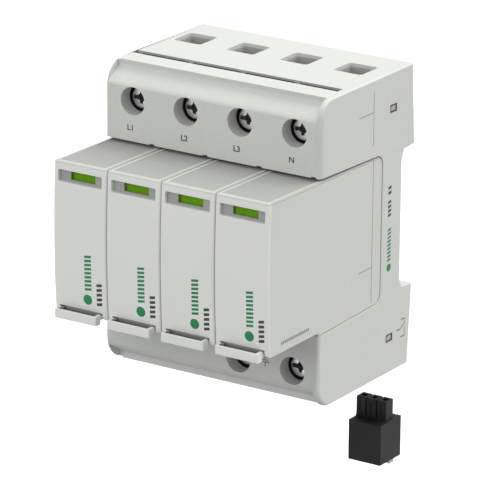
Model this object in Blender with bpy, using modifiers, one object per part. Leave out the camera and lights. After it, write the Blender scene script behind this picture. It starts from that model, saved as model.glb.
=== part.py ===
"""Four-pole rail-mounted surge protector with plug-in cartridges and a signal plug.

Row frame: X runs across the poles, Y from front to back with 0 on the seat that rests on
the mounting rail, Z up with 0 on the rail's centre line. Lengths are in metres.
"""
import math

import bmesh
import bpy
from mathutils import Matrix, Vector

MM = 0.001

# Driving dimensions of the whole device.
PITCH = 18.0 * MM
POLE_X = [PITCH * step for step in (-1.5, -0.5, 0.5, 1.5)]
HALF_WIDTH = 2.0 * PITCH
HALF_HEIGHT = 45.0 * MM
GAP = 0.3 * MM

# Planes from front to back.
CARTRIDGE_FRONT_Y = -69.3 * MM
SHOULDER_Y = -43.0 * MM
BAY_BACK_Y = -10.3 * MM
HOUSING_BACK_Y = -3.0 * MM
RAIL_SEAT_Y = 0.0
WING_END_Y = 5.4 * MM
WING_LIP_Y = 7.0 * MM

# Cartridge bay: its edge lines close a little towards the back.
BAY_FRONT_Z = 22.95 * MM
BAY_BACK_Z = 21.95 * MM
BAY_ROUND = 3.0 * MM

# Shoulders and side covers.
TOP_ROUND = 5.2 * MM
BOTTOM_ROUND = 6.0 * MM
COVER_THICKNESS = 1.7 * MM
HOUSING_HALF_WIDTH = HALF_WIDTH - COVER_THICKNESS - GAP
COVE_START_Z = 39.0 * MM
COVE_END_Z = 43.6 * MM
COVE_DEPTH = 5.1 * MM
LIP_SET_FORWARD = 0.3 * MM
SNAP_WINDOW_Y = (-6.9 * MM, -3.3 * MM)
SNAP_WINDOW_Z = (33.1 * MM, 35.5 * MM)
SNAP_HEIGHT = 1.4 * MM
SNAP_ROOT = 0.4 * MM

# Rail recess for a 35 mm rail.
RAIL_WALL_Z = 17.7 * MM
RECESS_NOTCH = (1.3 * MM, 20.6 * MM)
RECESS_LIP_Z = 21.0 * MM
SEAT_EDGE_Z = 15.6 * MM
SEAT_RELIEF = 0.4 * MM
HOOK_Y = (1.5 * MM, 3.6 * MM)
HOOK_TIP_Z = 16.0 * MM
HOOK_X = (8.0 * MM, 26.0 * MM)

# Rail latch and its spring.
LATCH_HALF_WIDTH = 12.0 * MM
LATCH_Y = (1.3 * MM, 3.4 * MM)
LATCH_FOOT_Z = -46.5 * MM
LATCH_NOSE_Z = -16.0 * MM
LATCH_NOSE_FLAT = 0.5 * MM
LATCH_NOSE_SLOPE = 2.2 * MM
LATCH_PULL_HALF_WIDTH = 3.0 * MM
LATCH_PULL_Z = (-45.2 * MM, -43.6 * MM)
LATCH_WINDOW_HALF_WIDTH = 5.0 * MM
LATCH_WINDOW_Z = (-39.0 * MM, -30.0 * MM)
SPRING_PEG_Z = (-38.6 * MM, -37.2 * MM)
SPRING_WIRE = 0.5 * MM
SPRING_TURNS = 6
SPRING_REACH = 3.8 * MM

# Screw terminals. A terminal is described for the upper side; the lower side mirrors it in Z.
EARTH_X = (9.25 * MM, 27.25 * MM)
SCREW_Z = 34.8 * MM
BORE_RADIUS = 4.1 * MM
NECK_RADIUS = 2.9 * MM
BORE_END_Y = -35.2 * MM
CHAMBER_FRONT_Y = -33.5 * MM
CHAMBER_HALF_WIDTH = 6.1 * MM
CHAMBER_Z = (28.3 * MM, 40.7 * MM)
ENTRY_OFFSET_X = -1.25 * MM
ENTRY_HALF_WIDTH = 4.4 * MM
ENTRY_Y = (-13.4 * MM, -4.5 * MM)
ENTRY_STEP = 0.3 * MM
ENTRY_STEP_DEPTH = 1.0 * MM
HEAD_FRONT_Y = -38.6 * MM
HEAD_RADIUS = 3.3 * MM
HEAD_CHAMFER = 0.4 * MM
SHANK_RADIUS = 2.5 * MM
SHANK_CHAMFER = 0.5 * MM
RECESS_DEPTH = 1.6 * MM
RECESS_HALF_WIDTH = 0.5 * MM
RECESS_SLOT_REACH = 2.7 * MM
RECESS_CROSS_REACH = 1.7 * MM
SCREW_TIP_Y = -15.4 * MM
CAGE_HALF_WIDTH = 5.7 * MM
CAGE_Y = (-24.0 * MM, -3.7 * MM)
CAGE_Z = (30.6 * MM, 39.4 * MM)
CAGE_WALL = 1.0 * MM
CAGE_NUT_WALL = 2.5 * MM
CAGE_REAR_WALL = 1.3 * MM
CAGE_HOLE_RADIUS = 2.8 * MM

# Current path: terminal plate, riser and the fork that grips a cartridge blade.
PLATE_HALF_WIDTH = 4.4 * MM
PLATE_Y = (-15.0 * MM, -13.5 * MM)
PLATE_Z = (28.6 * MM, 39.4 * MM)
STRIP_THICKNESS = 1.5 * MM
RISER_HALF_WIDTH = 3.0 * MM
LINE_RISER_Y = (-8.0 * MM, -6.5 * MM)
EARTH_RISER_Y = (-6.6 * MM, -5.1 * MM)
FORK_X = (0.9 * MM, 1.9 * MM)
FORK_Y = (-9.2 * MM, -4.2 * MM)
FORK_Z = (7.0 * MM, 16.3 * MM)
FORK_CAVITY_HALF_WIDTH = 3.3 * MM
FORK_CAVITY_FRONT_Y = -9.6 * MM
FORK_CAVITY_Z = 6.5 * MM
BLADE_SLOT_HALF_WIDTH = 0.9 * MM
BLADE_SLOT_MARGIN = 0.5 * MM
BLADE_Z = (8.0 * MM, 15.0 * MM)
BUSBAR_Z = (-22.5 * MM, -16.0 * MM)
BUSBAR_HALF_LENGTH = 30.0 * MM

# Slot along the top face.
SLOT_Y = (-31.0 * MM, -28.2 * MM)
SLOT_END_X = 33.4 * MM
SLOT_DEPTH = 1.8 * MM

# Cartridges.
CARTRIDGE_HALF_WIDTH = 8.85 * MM
CARTRIDGE_TOP_Z = 22.75 * MM
CARTRIDGE_CHIN_Z = -21.8 * MM
BOW_CENTRE_Z = 3.0 * MM
BOW_DEPTH = 0.6 * MM
BOW_HALF_HEIGHT = 20.0 * MM
BOW_STEPS = 6
CASE_BACK_Y = -12.5 * MM
CASE_WALL = 1.2 * MM
CASE_FRONT_WALL = 2.2 * MM
WINDOW_X = (-7.4 * MM, 7.05 * MM)
WINDOW_Z = (17.05 * MM, 20.25 * MM)
WINDOW_DEPTH = 1.5 * MM
PEEP_X = (-3.8 * MM, 4.0 * MM)
PEEP_Z = (17.45 * MM, 19.9 * MM)
FLAG_HALF_WIDTH = 4.8 * MM
FLAG_Z = (16.9 * MM, 20.5 * MM)
FLAG_THICKNESS = 1.0 * MM
FLAG_STEM_Z = 10.0 * MM
FLAG_STEM_HALF_WIDTH = 1.2 * MM

# Release latch under each cartridge.
TAB_HALF_WIDTH = 7.0 * MM
TAB_FRONT_Y = -71.4 * MM
TAB_BACK_Y = -68.9 * MM
TAB_Z = (-22.9 * MM, -20.6 * MM)
TAB_WALL = 0.6 * MM
TAB_GROOVE_DEPTH = 1.2 * MM
ARM_THICKNESS = 1.1 * MM
ARM_ROOT_Y = -44.5 * MM
TAB_SWING = 0.8 * MM

# Varistor block and the strips that carry its current to the blades.
VARISTOR_HALF_THICKNESS = 4.0 * MM
VARISTOR_Y = (-48.0 * MM, -18.0 * MM)
VARISTOR_Z = (-15.0 * MM, 17.0 * MM)
VARISTOR_ROUND = 1.2 * MM
BLADE_THICKNESS = 1.2 * MM
ELECTRODE_X = 4.9 * MM
ELECTRODE_FRONT_Y = -44.0 * MM
ELECTRODE_BEND_Y = -17.0 * MM
BLADE_BEND_Y = -14.8 * MM
BLADE_TIP_Y = -4.6 * MM

# Remote signalling: rocker, switch, board, socket and plug.
ROCKER_X = (-30.0 * MM, 20.4 * MM)
ROCKER_Y = (-6.8 * MM, -4.6 * MM)
ROCKER_HALF_HEIGHT = 1.4 * MM
ROCKER_AXIS_Y = -5.0 * MM
PADDLE_Y = -8.8 * MM
PADDLE_HALF_WIDTH = 1.5 * MM
PADDLE_Z = (-0.7 * MM, 2.2 * MM)
SIGNAL_CAVITY_X = (-31.0 * MM, 33.2 * MM)
SIGNAL_CAVITY_Y = -9.4 * MM
SIGNAL_CAVITY_Z = 4.0 * MM
SWITCH_X = (21.6 * MM, 32.6 * MM)
SWITCH_Y = (-9.0 * MM, -2.9 * MM)
SWITCH_Z = (-3.4 * MM, 3.4 * MM)
BUTTON_HEIGHT = 0.8 * MM
BUTTON_Y = (-7.0 * MM, -5.0 * MM)
BUTTON_HALF_WIDTH = 0.8 * MM
BOARD_X = (22.3 * MM, 33.2 * MM)
BOARD_Y = (-2.4 * MM, -1.4 * MM)
BOARD_Z = (-37.0 * MM, 4.4 * MM)
PIN_PITCH = 3.5 * MM
PRONG_WIDTH = 3.1 * MM
PRONG_DEPTH = 3.9 * MM
PRONG_HEIGHT = 6.0 * MM
PRONG_HOLE = 1.8 * MM
PRONG_HOLE_DEPTH = 5.4 * MM
PRONG_SET_BACK = 4.1 * MM
PIN_WIDTH = 0.9 * MM
PIN_TIP_Z = -43.6 * MM
SOCKET_Z = (-38.2 * MM, -36.8 * MM)
PLUG_X = (22.6 * MM, 33.5 * MM)
PLUG_Y = (-4.5 * MM, 6.8 * MM)
PLUG_Z = (-74.4 * MM, -62.1 * MM)
LEVER_WIDTH = 1.9 * MM
LEVER_Y = (3.1 * MM, 5.5 * MM)
LEVER_Z = (-76.4 * MM, -68.0 * MM)
LEVER_SLOT_TOP_Z = -66.0 * MM
WIRE_HOLE_RADIUS = 1.2 * MM
WIRE_HOLE_SEGMENTS = 12
WIRE_HOLE_Y = -0.6 * MM
WIRE_HOLE_TOP_Z = -65.0 * MM

ARC_STEPS = 4
ROUND_SEGMENTS = 20
OVERSHOOT = 1.0 * MM

COLOURS = {
    "housing": ((0.62, 0.64, 0.60), 0.55, 0.0),
    "cartridge": ((0.60, 0.62, 0.59), 0.40, 0.0),
    "flag": ((0.22, 0.52, 0.02), 0.45, 0.0),
    "steel": ((0.62, 0.62, 0.64), 0.30, 1.0),
    "copper": ((0.80, 0.45, 0.28), 0.30, 1.0),
    "varistor": ((0.05, 0.13, 0.35), 0.50, 0.0),
    "board": ((0.02, 0.22, 0.10), 0.50, 0.0),
    "black": ((0.03, 0.03, 0.03), 0.45, 0.0),
    "lever": ((0.55, 0.56, 0.54), 0.45, 0.0),
}


def clear_scene():
    for thing in list(bpy.data.objects):
        bpy.data.objects.remove(thing, do_unlink=True)


def new_collection(name):
    group = bpy.data.collections.new(name)
    bpy.context.scene.collection.children.link(group)
    return group


def new_material(name, colour, roughness, metallic):
    material = bpy.data.materials.new(name)
    material.use_nodes = True
    shader = material.node_tree.nodes["Principled BSDF"]
    shader.inputs["Base Color"].default_value = (*colour, 1.0)
    shader.inputs["Roughness"].default_value = roughness
    shader.inputs["Metallic"].default_value = metallic
    return material


clear_scene()
PARTS = new_collection("surge_protector")
CUTTERS = new_collection("cutters")


def add_object(name, mesh):
    thing = bpy.data.objects.new(name, mesh)
    PARTS.objects.link(thing)
    return thing


def finish_part(thing, colour, origin=None):
    """Give the part its own material and, if it moves, an origin on its joint's axis."""
    thing.data.materials.append(new_material(thing.name, *COLOURS[colour]))
    if origin is not None:
        thing.data.transform(Matrix.Translation(-Vector(origin)))
        thing.location = origin
    return thing


def box(name, x, y, z):
    """Box between the given spans along X, Y and Z."""
    spans = [sorted(span) for span in (x, y, z)]
    centre = [(low + high) / 2 for low, high in spans]
    size = [high - low for low, high in spans]
    shape = bmesh.new()
    bmesh.ops.create_cube(shape, size=1.0, matrix=Matrix.Translation(centre) @ Matrix.Diagonal((*size, 1.0)))
    mesh = bpy.data.meshes.new(name)
    shape.to_mesh(mesh)
    shape.free()
    return add_object(name, mesh)


def rod_y(name, x, z, radius, y):
    """Round rod along Y, used for bores and screw holes."""
    turn = Matrix.Rotation(math.pi / 2, 4, "X")
    place = Matrix.Translation((x, (y[0] + y[1]) / 2, z))
    shape = bmesh.new()
    bmesh.ops.create_cone(
        shape, cap_ends=True, segments=ROUND_SEGMENTS, radius1=radius, radius2=radius,
        depth=abs(y[1] - y[0]), matrix=place @ turn)
    mesh = bpy.data.meshes.new(name)
    shape.to_mesh(mesh)
    shape.free()
    return add_object(name, mesh)


def rod_z(name, x, y, radius, z):
    """Round rod along Z, used for wire holes."""
    place = Matrix.Translation((x, y, (z[0] + z[1]) / 2))
    shape = bmesh.new()
    bmesh.ops.create_cone(
        shape, cap_ends=True, segments=WIRE_HOLE_SEGMENTS, radius1=radius, radius2=radius,
        depth=abs(z[1] - z[0]), matrix=place)
    mesh = bpy.data.meshes.new(name)
    shape.to_mesh(mesh)
    shape.free()
    return add_object(name, mesh)


def rounded(corners):
    """Outline of (a, b) points from (a, b, radius) corners, with an arc at each round corner."""
    outline = []
    count = len(corners)
    for index, (a, b, radius) in enumerate(corners):
        corner = Vector((a, b))
        if radius == 0.0:
            outline.append((a, b))
            continue
        before = (Vector(corners[index - 1][:2]) - corner).normalized()
        after = (Vector(corners[(index + 1) % count][:2]) - corner).normalized()
        half_angle = before.angle(after) / 2
        centre = corner + (before + after).normalized() * radius / math.sin(half_angle)
        start = corner + before * radius / math.tan(half_angle) - centre
        end = corner + after * radius / math.tan(half_angle) - centre
        turn = start.angle_signed(end)
        for step in range(ARC_STEPS + 1):
            spoke = Matrix.Rotation(-turn * step / ARC_STEPS, 2) @ start
            outline.append(tuple(centre + spoke))
    return outline


def prism(name, outline, x):
    """Solid with a closed (y, z) outline between two planes of X, made as a filled 2D curve."""
    curve = bpy.data.curves.new(name, "CURVE")
    curve.dimensions = "2D"
    curve.fill_mode = "BOTH"
    curve.extrude = (x[1] - x[0]) / 2
    spline = curve.splines.new("POLY")
    spline.points.add(len(outline) - 1)
    for point, (a, b) in zip(spline.points, outline):
        point.co = (a, b, 0.0, 1.0)
    spline.use_cyclic_u = True
    guide = bpy.data.objects.new(name + "_guide", curve)
    PARTS.objects.link(guide)
    turn = Matrix(((0, 0, 1), (1, 0, 0), (0, 1, 0))).to_4x4()
    guide.matrix_world = Matrix.Translation(((x[0] + x[1]) / 2, 0.0, 0.0)) @ turn
    mesh = mesh_from(guide, name)
    bpy.data.objects.remove(guide, do_unlink=True)
    return add_object(name, mesh)


def mesh_from(guide, name):
    """Closed mesh of a curve object, in world space, with its caps welded."""
    bpy.context.view_layer.update()
    evaluated = guide.evaluated_get(bpy.context.evaluated_depsgraph_get())
    mesh = bpy.data.meshes.new_from_object(evaluated)
    mesh.name = name
    mesh.materials.clear()
    mesh.transform(guide.matrix_world)
    shape = bmesh.new()
    shape.from_mesh(mesh)
    bmesh.ops.remove_doubles(shape, verts=shape.verts, dist=1e-6)
    bmesh.ops.recalc_face_normals(shape, faces=shape.faces)
    shape.to_mesh(mesh)
    shape.free()
    return mesh


def combine(target, operation, tools):
    for tool in tools:
        PARTS.objects.unlink(tool)
        CUTTERS.objects.link(tool)
        tool.hide_render = True
        tool.display_type = "WIRE"
        modifier = target.modifiers.new(tool.name, "BOOLEAN")
        modifier.operation = operation
        modifier.solver = "EXACT"
        modifier.object = tool


def cut(target, *tools):
    combine(target, "DIFFERENCE", tools)


def join(target, *tools):
    combine(target, "UNION", tools)


def span_z(side, low, high):
    """Span along Z on the upper (side 1) or lower (side -1) half."""
    return (side * low, side * high)


def around(centre, half):
    return (centre - half, centre + half)


def rear_edge():
    """Back edge from the upper wing through the rail recess to the lower wing."""
    upper = [(WING_END_Y, HALF_HEIGHT), (WING_LIP_Y, RECESS_LIP_Z), RECESS_NOTCH, (RAIL_SEAT_Y, RAIL_WALL_Z)]
    lower = [(y, -z) for y, z in reversed(upper)]
    return upper + lower


def side_cover(name, x):
    corners = [(SHOULDER_Y, BAY_FRONT_Z, 0.0), (SHOULDER_Y, HALF_HEIGHT, TOP_ROUND)]
    corners += [(y, z, 0.0) for y, z in rear_edge()]
    corners += [
        (SHOULDER_Y, -HALF_HEIGHT, BOTTOM_ROUND),
        (SHOULDER_Y, -BAY_FRONT_Z, 0.0),
        (BAY_BACK_Y, -BAY_BACK_Z, BAY_ROUND),
        (BAY_BACK_Y, BAY_BACK_Z, BAY_ROUND),
    ]
    cover = prism(name, rounded(corners), x)
    for side in (1, -1):
        cut(cover, box(f"{name}_snap_cut_{side}", (x[0] - OVERSHOOT, x[1] + OVERSHOOT), SNAP_WINDOW_Y,
                       span_z(side, *SNAP_WINDOW_Z)))
    return finish_part(cover, "housing")


def cove(side):
    """Hollow curve from the flat front of a shoulder back to the lip of its outer face."""
    points = []
    for step in range(ARC_STEPS + 3):
        part = step / (ARC_STEPS + 2)
        y = SHOULDER_Y + COVE_DEPTH * (1 - math.cos(math.pi * part)) / 2
        z = COVE_START_Z + (COVE_END_Z - COVE_START_Z) * part
        points.append((y, side * z))
    points.append((SHOULDER_Y + COVE_DEPTH - LIP_SET_FORWARD, side * HALF_HEIGHT))
    return points


def terminal_cutters(name, x, side):
    """Screw bore, clamp chamber and wire entry of one terminal."""
    entry_x = x + ENTRY_OFFSET_X
    inner_y = (ENTRY_Y[0] + ENTRY_STEP, ENTRY_Y[1] - ENTRY_STEP)
    neck_y = (BORE_END_Y - OVERSHOOT, CHAMBER_FRONT_Y + OVERSHOOT)
    return [
        rod_y(f"{name}_bore", x, side * SCREW_Z, BORE_RADIUS, (SHOULDER_Y - OVERSHOOT, BORE_END_Y)),
        rod_y(f"{name}_neck", x, side * SCREW_Z, NECK_RADIUS, neck_y),
        box(f"{name}_chamber", around(x, CHAMBER_HALF_WIDTH), (CHAMBER_FRONT_Y, HOUSING_BACK_Y + OVERSHOOT),
            span_z(side, *CHAMBER_Z)),
        box(f"{name}_entry", around(entry_x, ENTRY_HALF_WIDTH - ENTRY_STEP), inner_y,
            span_z(side, CHAMBER_Z[1] - OVERSHOOT, HALF_HEIGHT + OVERSHOOT)),
        box(f"{name}_entry_step", around(entry_x, ENTRY_HALF_WIDTH), ENTRY_Y,
            span_z(side, HALF_HEIGHT - ENTRY_STEP_DEPTH, HALF_HEIGHT + OVERSHOOT)),
    ]


def fork_cutters(name, x, side, top_z):
    """Cavity for one contact fork, open to the back, and the slot that its blade enters by."""
    cavity_y = (FORK_CAVITY_FRONT_Y, HOUSING_BACK_Y + OVERSHOOT)
    slot_y = (BAY_BACK_Y - OVERSHOOT, FORK_CAVITY_FRONT_Y + OVERSHOOT)
    slot_z = span_z(side, BLADE_Z[0] - BLADE_SLOT_MARGIN, BLADE_Z[1] + BLADE_SLOT_MARGIN)
    return [
        box(f"{name}_cavity", around(x, FORK_CAVITY_HALF_WIDTH), cavity_y, span_z(side, FORK_CAVITY_Z, top_z)),
        box(f"{name}_slot", around(x, BLADE_SLOT_HALF_WIDTH), slot_y, slot_z),
    ]


def base_housing():
    """Main moulding: two shoulders with the screw terminals, joined by a web behind the bay."""
    corners = [(SHOULDER_Y, BAY_FRONT_Z, 0.0)]
    corners += [(y, z, 0.0) for y, z in cove(1)]
    corners += [(HOUSING_BACK_Y, HALF_HEIGHT, 0.0), (HOUSING_BACK_Y, -HALF_HEIGHT, 0.0)]
    corners += [(y, z, 0.0) for y, z in reversed(cove(-1))]
    corners += [
        (SHOULDER_Y, -BAY_FRONT_Z, 0.0),
        (BAY_BACK_Y, -BAY_BACK_Z, BAY_ROUND),
        (BAY_BACK_Y, BAY_BACK_Z, BAY_ROUND),
    ]
    housing = prism("base_housing", rounded(corners), (-HOUSING_HALF_WIDTH, HOUSING_HALF_WIDTH))
    for number, x in enumerate(POLE_X, 1):
        cut(housing, *terminal_cutters(f"line_{number}", x, 1))
        cut(housing, *fork_cutters(f"line_fork_{number}", x, 1, CHAMBER_Z[0] + OVERSHOOT))
        cut(housing, *fork_cutters(f"earth_fork_{number}", x, -1, -BUSBAR_Z[1] + OVERSHOOT))
    busbar_y = (EARTH_RISER_Y[0] - GAP, HOUSING_BACK_Y + OVERSHOOT)
    cut(housing, box("busbar_channel", around(0.0, BUSBAR_HALF_LENGTH + GAP), busbar_y,
                     (BUSBAR_Z[0] - GAP, BUSBAR_Z[1] + GAP)))
    for number, x in enumerate(EARTH_X, 1):
        cut(housing, *terminal_cutters(f"earth_{number}", x, -1))
        cut(housing, box(f"earth_riser_channel_{number}", around(x, RISER_HALF_WIDTH + GAP), busbar_y,
                         (-CHAMBER_Z[0] - OVERSHOOT, BUSBAR_Z[0] + OVERSHOOT)))
    cut(housing, box("signal_cavity", SIGNAL_CAVITY_X, (SIGNAL_CAVITY_Y, HOUSING_BACK_Y + OVERSHOOT),
                     around(0.0, SIGNAL_CAVITY_Z)))
    cut(housing, box("top_slot", (-HALF_WIDTH, SLOT_END_X), SLOT_Y,
                     (HALF_HEIGHT - SLOT_DEPTH, HALF_HEIGHT + OVERSHOOT)))
    snap_y = (SNAP_WINDOW_Y[0] + GAP, SNAP_WINDOW_Y[1] - GAP)
    snap_reach = HOUSING_HALF_WIDTH + SNAP_HEIGHT
    for side in (1, -1):
        snap_z = span_z(side, SNAP_WINDOW_Z[0] + GAP, SNAP_WINDOW_Z[1] - GAP)
        for end in (1, -1):
            inner = end * (HOUSING_HALF_WIDTH - SNAP_ROOT)
            join(housing, box(f"snap_{side}_{end}", (inner, end * snap_reach), snap_y, snap_z))
    return finish_part(housing, "housing")


def base_rear():
    """Rail-side moulding with the two wings, the fixed rail hooks and the latch guide."""
    front_y = HOUSING_BACK_Y + GAP
    outline = [(front_y, HALF_HEIGHT)] + rear_edge() + [(front_y, -HALF_HEIGHT)]
    rear = prism("base_rear", outline, (-HOUSING_HALF_WIDTH, HOUSING_HALF_WIDTH))
    relief_y = (RAIL_SEAT_Y - SEAT_RELIEF, RAIL_SEAT_Y + OVERSHOOT)
    for side in (1, -1):
        cut(rear, box(f"seat_relief_{side}", around(0.0, HOUSING_HALF_WIDTH + OVERSHOOT), relief_y,
                      span_z(side, SEAT_EDGE_Z, RAIL_WALL_Z)))
    for end in (1, -1):
        join(rear, box(f"rail_hook_{end}", (end * HOOK_X[0], end * HOOK_X[1]), HOOK_Y,
                       (HOOK_TIP_Z, RECESS_LIP_Z + OVERSHOOT)))
    guide_y = (LATCH_Y[0] - GAP, LATCH_Y[1] + GAP)
    cut(rear, box("latch_guide", around(0.0, LATCH_HALF_WIDTH + GAP), guide_y,
                  (-HALF_HEIGHT - OVERSHOOT, -RAIL_WALL_Z)))
    join(rear, box("spring_peg", around(0.0, LATCH_WINDOW_HALF_WIDTH - GAP),
                   (guide_y[0] - GAP, guide_y[1] + GAP), SPRING_PEG_Z))
    socket_x = (PLUG_X[0] - GAP, PLUG_X[0] + 2 * PIN_PITCH + PRONG_WIDTH + GAP)
    prong_y = (PLUG_Y[0] + PRONG_SET_BACK - GAP, PLUG_Y[0] + PRONG_SET_BACK + PRONG_DEPTH + GAP)
    pocket_y = (front_y - OVERSHOOT, BOARD_Y[1] + GAP)
    cut(rear,
        box("socket_cavity", socket_x, prong_y, (-HALF_HEIGHT - OVERSHOOT, SOCKET_Z[1] + GAP)),
        box("board_pocket", (BOARD_X[0] - GAP, BOARD_X[1] + GAP), pocket_y,
            (BOARD_Z[0] - GAP, BOARD_Z[1] + GAP)),
        box("tail_slot", socket_x, (pocket_y[0], prong_y[0] + GAP), (SOCKET_Z[0] - GAP, SOCKET_Z[1] + GAP)))
    return finish_part(rear, "housing")


def rail_latch():
    """Sliding foot whose nose holds the rail's lower edge and drops to release it."""
    outline = [
        (LATCH_Y[0], LATCH_FOOT_Z),
        (LATCH_Y[0], LATCH_NOSE_Z),
        (LATCH_Y[0] + LATCH_NOSE_FLAT, LATCH_NOSE_Z),
        (LATCH_Y[1], LATCH_NOSE_Z - LATCH_NOSE_SLOPE),
        (LATCH_Y[1], LATCH_FOOT_Z),
    ]
    latch = prism("rail_latch", outline, around(0.0, LATCH_HALF_WIDTH))
    through = (LATCH_Y[0] - OVERSHOOT, LATCH_Y[1] + OVERSHOOT)
    cut(latch, box("latch_spring_window", around(0.0, LATCH_WINDOW_HALF_WIDTH), through, LATCH_WINDOW_Z))
    cut(latch, box("latch_pull_slot", around(0.0, LATCH_PULL_HALF_WIDTH), through, LATCH_PULL_Z))
    return finish_part(latch, "black", (0.0, (LATCH_Y[0] + LATCH_Y[1]) / 2, LATCH_FOOT_Z))


def rail_latch_spring():
    """Bent wire that pushes the rail latch up against its stop."""
    low = SPRING_PEG_Z[1] + GAP + SPRING_WIRE / 2
    high = LATCH_WINDOW_Z[1] - GAP - SPRING_WIRE / 2
    curve = bpy.data.curves.new("rail_latch_spring", "CURVE")
    curve.dimensions = "3D"
    curve.bevel_depth = SPRING_WIRE / 2
    curve.bevel_resolution = 1
    curve.use_fill_caps = True
    spline = curve.splines.new("POLY")
    spline.points.add(SPRING_TURNS * 4)
    for step, point in enumerate(spline.points):
        part = step / (SPRING_TURNS * 4)
        x = SPRING_REACH * math.sin(math.pi * part * SPRING_TURNS)
        point.co = (x, (LATCH_Y[0] + LATCH_Y[1]) / 2, low + (high - low) * part, 1.0)
    guide = bpy.data.objects.new("rail_latch_spring_guide", curve)
    PARTS.objects.link(guide)
    mesh = mesh_from(guide, "rail_latch_spring")
    bpy.data.objects.remove(guide, do_unlink=True)
    return finish_part(add_object("rail_latch_spring", mesh), "steel")


def terminal_screw(name, x, side):
    """Terminal screw with a cross and slot recess, turned about its own axis."""
    length = SCREW_TIP_Y - HEAD_FRONT_Y
    head_height = BORE_END_Y - GAP - HEAD_FRONT_Y
    profile = [
        (0.0, length),
        (HEAD_RADIUS - HEAD_CHAMFER, length),
        (HEAD_RADIUS, length - HEAD_CHAMFER),
        (HEAD_RADIUS, length - head_height),
        (SHANK_RADIUS, length - head_height),
        (SHANK_RADIUS, SHANK_CHAMFER),
        (SHANK_RADIUS - SHANK_CHAMFER, 0.0),
        (0.0, 0.0),
    ]
    mesh = bpy.data.meshes.new(name)
    points = [(radius, 0.0, height) for radius, height in profile]
    mesh.from_pydata(points, [(step, step + 1) for step in range(len(points) - 1)], [])
    screw = add_object(name, mesh)
    turned = screw.modifiers.new("Turned", "SCREW")
    turned.steps = ROUND_SEGMENTS
    turned.render_steps = ROUND_SEGMENTS
    turned.use_merge_vertices = True
    turned.merge_threshold = 0.00001
    screw.rotation_euler = (math.pi / 2, 0.0, 0.0)
    screw.location = (x, SCREW_TIP_Y, side * SCREW_Z)
    recess_y = (HEAD_FRONT_Y - OVERSHOOT, HEAD_FRONT_Y + RECESS_DEPTH)
    z = side * SCREW_Z
    cut(screw,
        box(f"{name}_slot", around(x, RECESS_SLOT_REACH), recess_y, around(z, RECESS_HALF_WIDTH)),
        box(f"{name}_cross", around(x, RECESS_HALF_WIDTH), recess_y, around(z, RECESS_CROSS_REACH)))
    screw.data.materials.append(new_material(name, *COLOURS["steel"]))
    return screw


def clamp_cage(name, x, side):
    """Square cage that the screw pulls forward to clamp a wire against the terminal plate."""
    middle_y = (CAGE_Y[0] + CAGE_Y[1]) / 2
    cage = box(name, around(x, CAGE_HALF_WIDTH), CAGE_Y, span_z(side, *CAGE_Z))
    window_y = (CAGE_Y[0] + CAGE_NUT_WALL, CAGE_Y[1] - CAGE_REAR_WALL)
    cut(cage,
        box(f"{name}_window", around(x, CAGE_HALF_WIDTH - CAGE_WALL), window_y,
            span_z(side, CAGE_Z[0] - OVERSHOOT, CAGE_Z[1] + OVERSHOOT)),
        rod_y(f"{name}_thread", x, side * SCREW_Z, CAGE_HOLE_RADIUS,
              (CAGE_Y[0] - OVERSHOOT, window_y[0] + OVERSHOOT)))
    return finish_part(cage, "steel", (x, middle_y, side * SCREW_Z))


def current_path(name, x, side, riser_y, riser_low, body):
    """Terminal plate, floor and riser of one terminal, joined to the body given."""
    floor_z = span_z(side, PLATE_Z[0], PLATE_Z[0] + STRIP_THICKNESS)
    join(body,
         box(f"{name}_floor", around(x, PLATE_HALF_WIDTH), (PLATE_Y[0], riser_y[1]), floor_z),
         box(f"{name}_plate", around(x, PLATE_HALF_WIDTH), PLATE_Y, span_z(side, *PLATE_Z)),
         box(f"{name}_riser", around(x, RISER_HALF_WIDTH), riser_y,
             span_z(side, riser_low, PLATE_Z[0] + STRIP_THICKNESS)))


def line_contact(name, x):
    """Line terminal's plate, riser and fork in one bent strip."""
    contact = box(name, around(x, FORK_X[1]), LINE_RISER_Y, (FORK_Z[1] - STRIP_THICKNESS / 2, FORK_Z[1]))
    current_path(name, x, 1, LINE_RISER_Y, FORK_Z[1] - STRIP_THICKNESS / 2, contact)
    add_fork(name, x, 1, contact)
    return finish_part(contact, "copper")


def add_fork(name, x, side, body):
    """Two cheeks that grip a cartridge blade."""
    for end in (1, -1):
        join(body, box(f"{name}_cheek_{end}", (x + end * FORK_X[0], x + end * FORK_X[1]), FORK_Y,
                       span_z(side, *FORK_Z)))


def earth_busbar():
    """Bar that links the four earth forks and the two earth terminals."""
    busbar = box("earth_busbar", around(0.0, BUSBAR_HALF_LENGTH), EARTH_RISER_Y, BUSBAR_Z)
    for number, x in enumerate(POLE_X, 1):
        add_fork(f"earth_{number}", x, -1, busbar)
    for number, x in enumerate(EARTH_X, 1):
        current_path(f"earth_path_{number}", x, -1, EARTH_RISER_Y, -BUSBAR_Z[0] - STRIP_THICKNESS, busbar)
    return finish_part(busbar, "copper")


def signal_rocker():
    """Bar behind the cartridges that a tripped cartridge would push to work the switch."""
    rocker = box("signal_rocker", ROCKER_X, ROCKER_Y, around(0.0, ROCKER_HALF_HEIGHT))
    paddle_y = (PADDLE_Y, ROCKER_Y[1] - GAP)
    for number, x in enumerate(POLE_X[:3], 1):
        join(rocker, box(f"rocker_paddle_{number}", around(x, PADDLE_HALF_WIDTH), paddle_y, PADDLE_Z))
    return finish_part(rocker, "black", (0.0, ROCKER_AXIS_Y, 0.0))


def signal_microswitch():
    switch = box("signal_microswitch", SWITCH_X, SWITCH_Y, SWITCH_Z)
    join(switch, box("switch_button", (SWITCH_X[0] - BUTTON_HEIGHT, SWITCH_X[0] + OVERSHOOT), BUTTON_Y,
                     around(0.0, BUTTON_HALF_WIDTH)))
    return finish_part(switch, "black")


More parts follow.
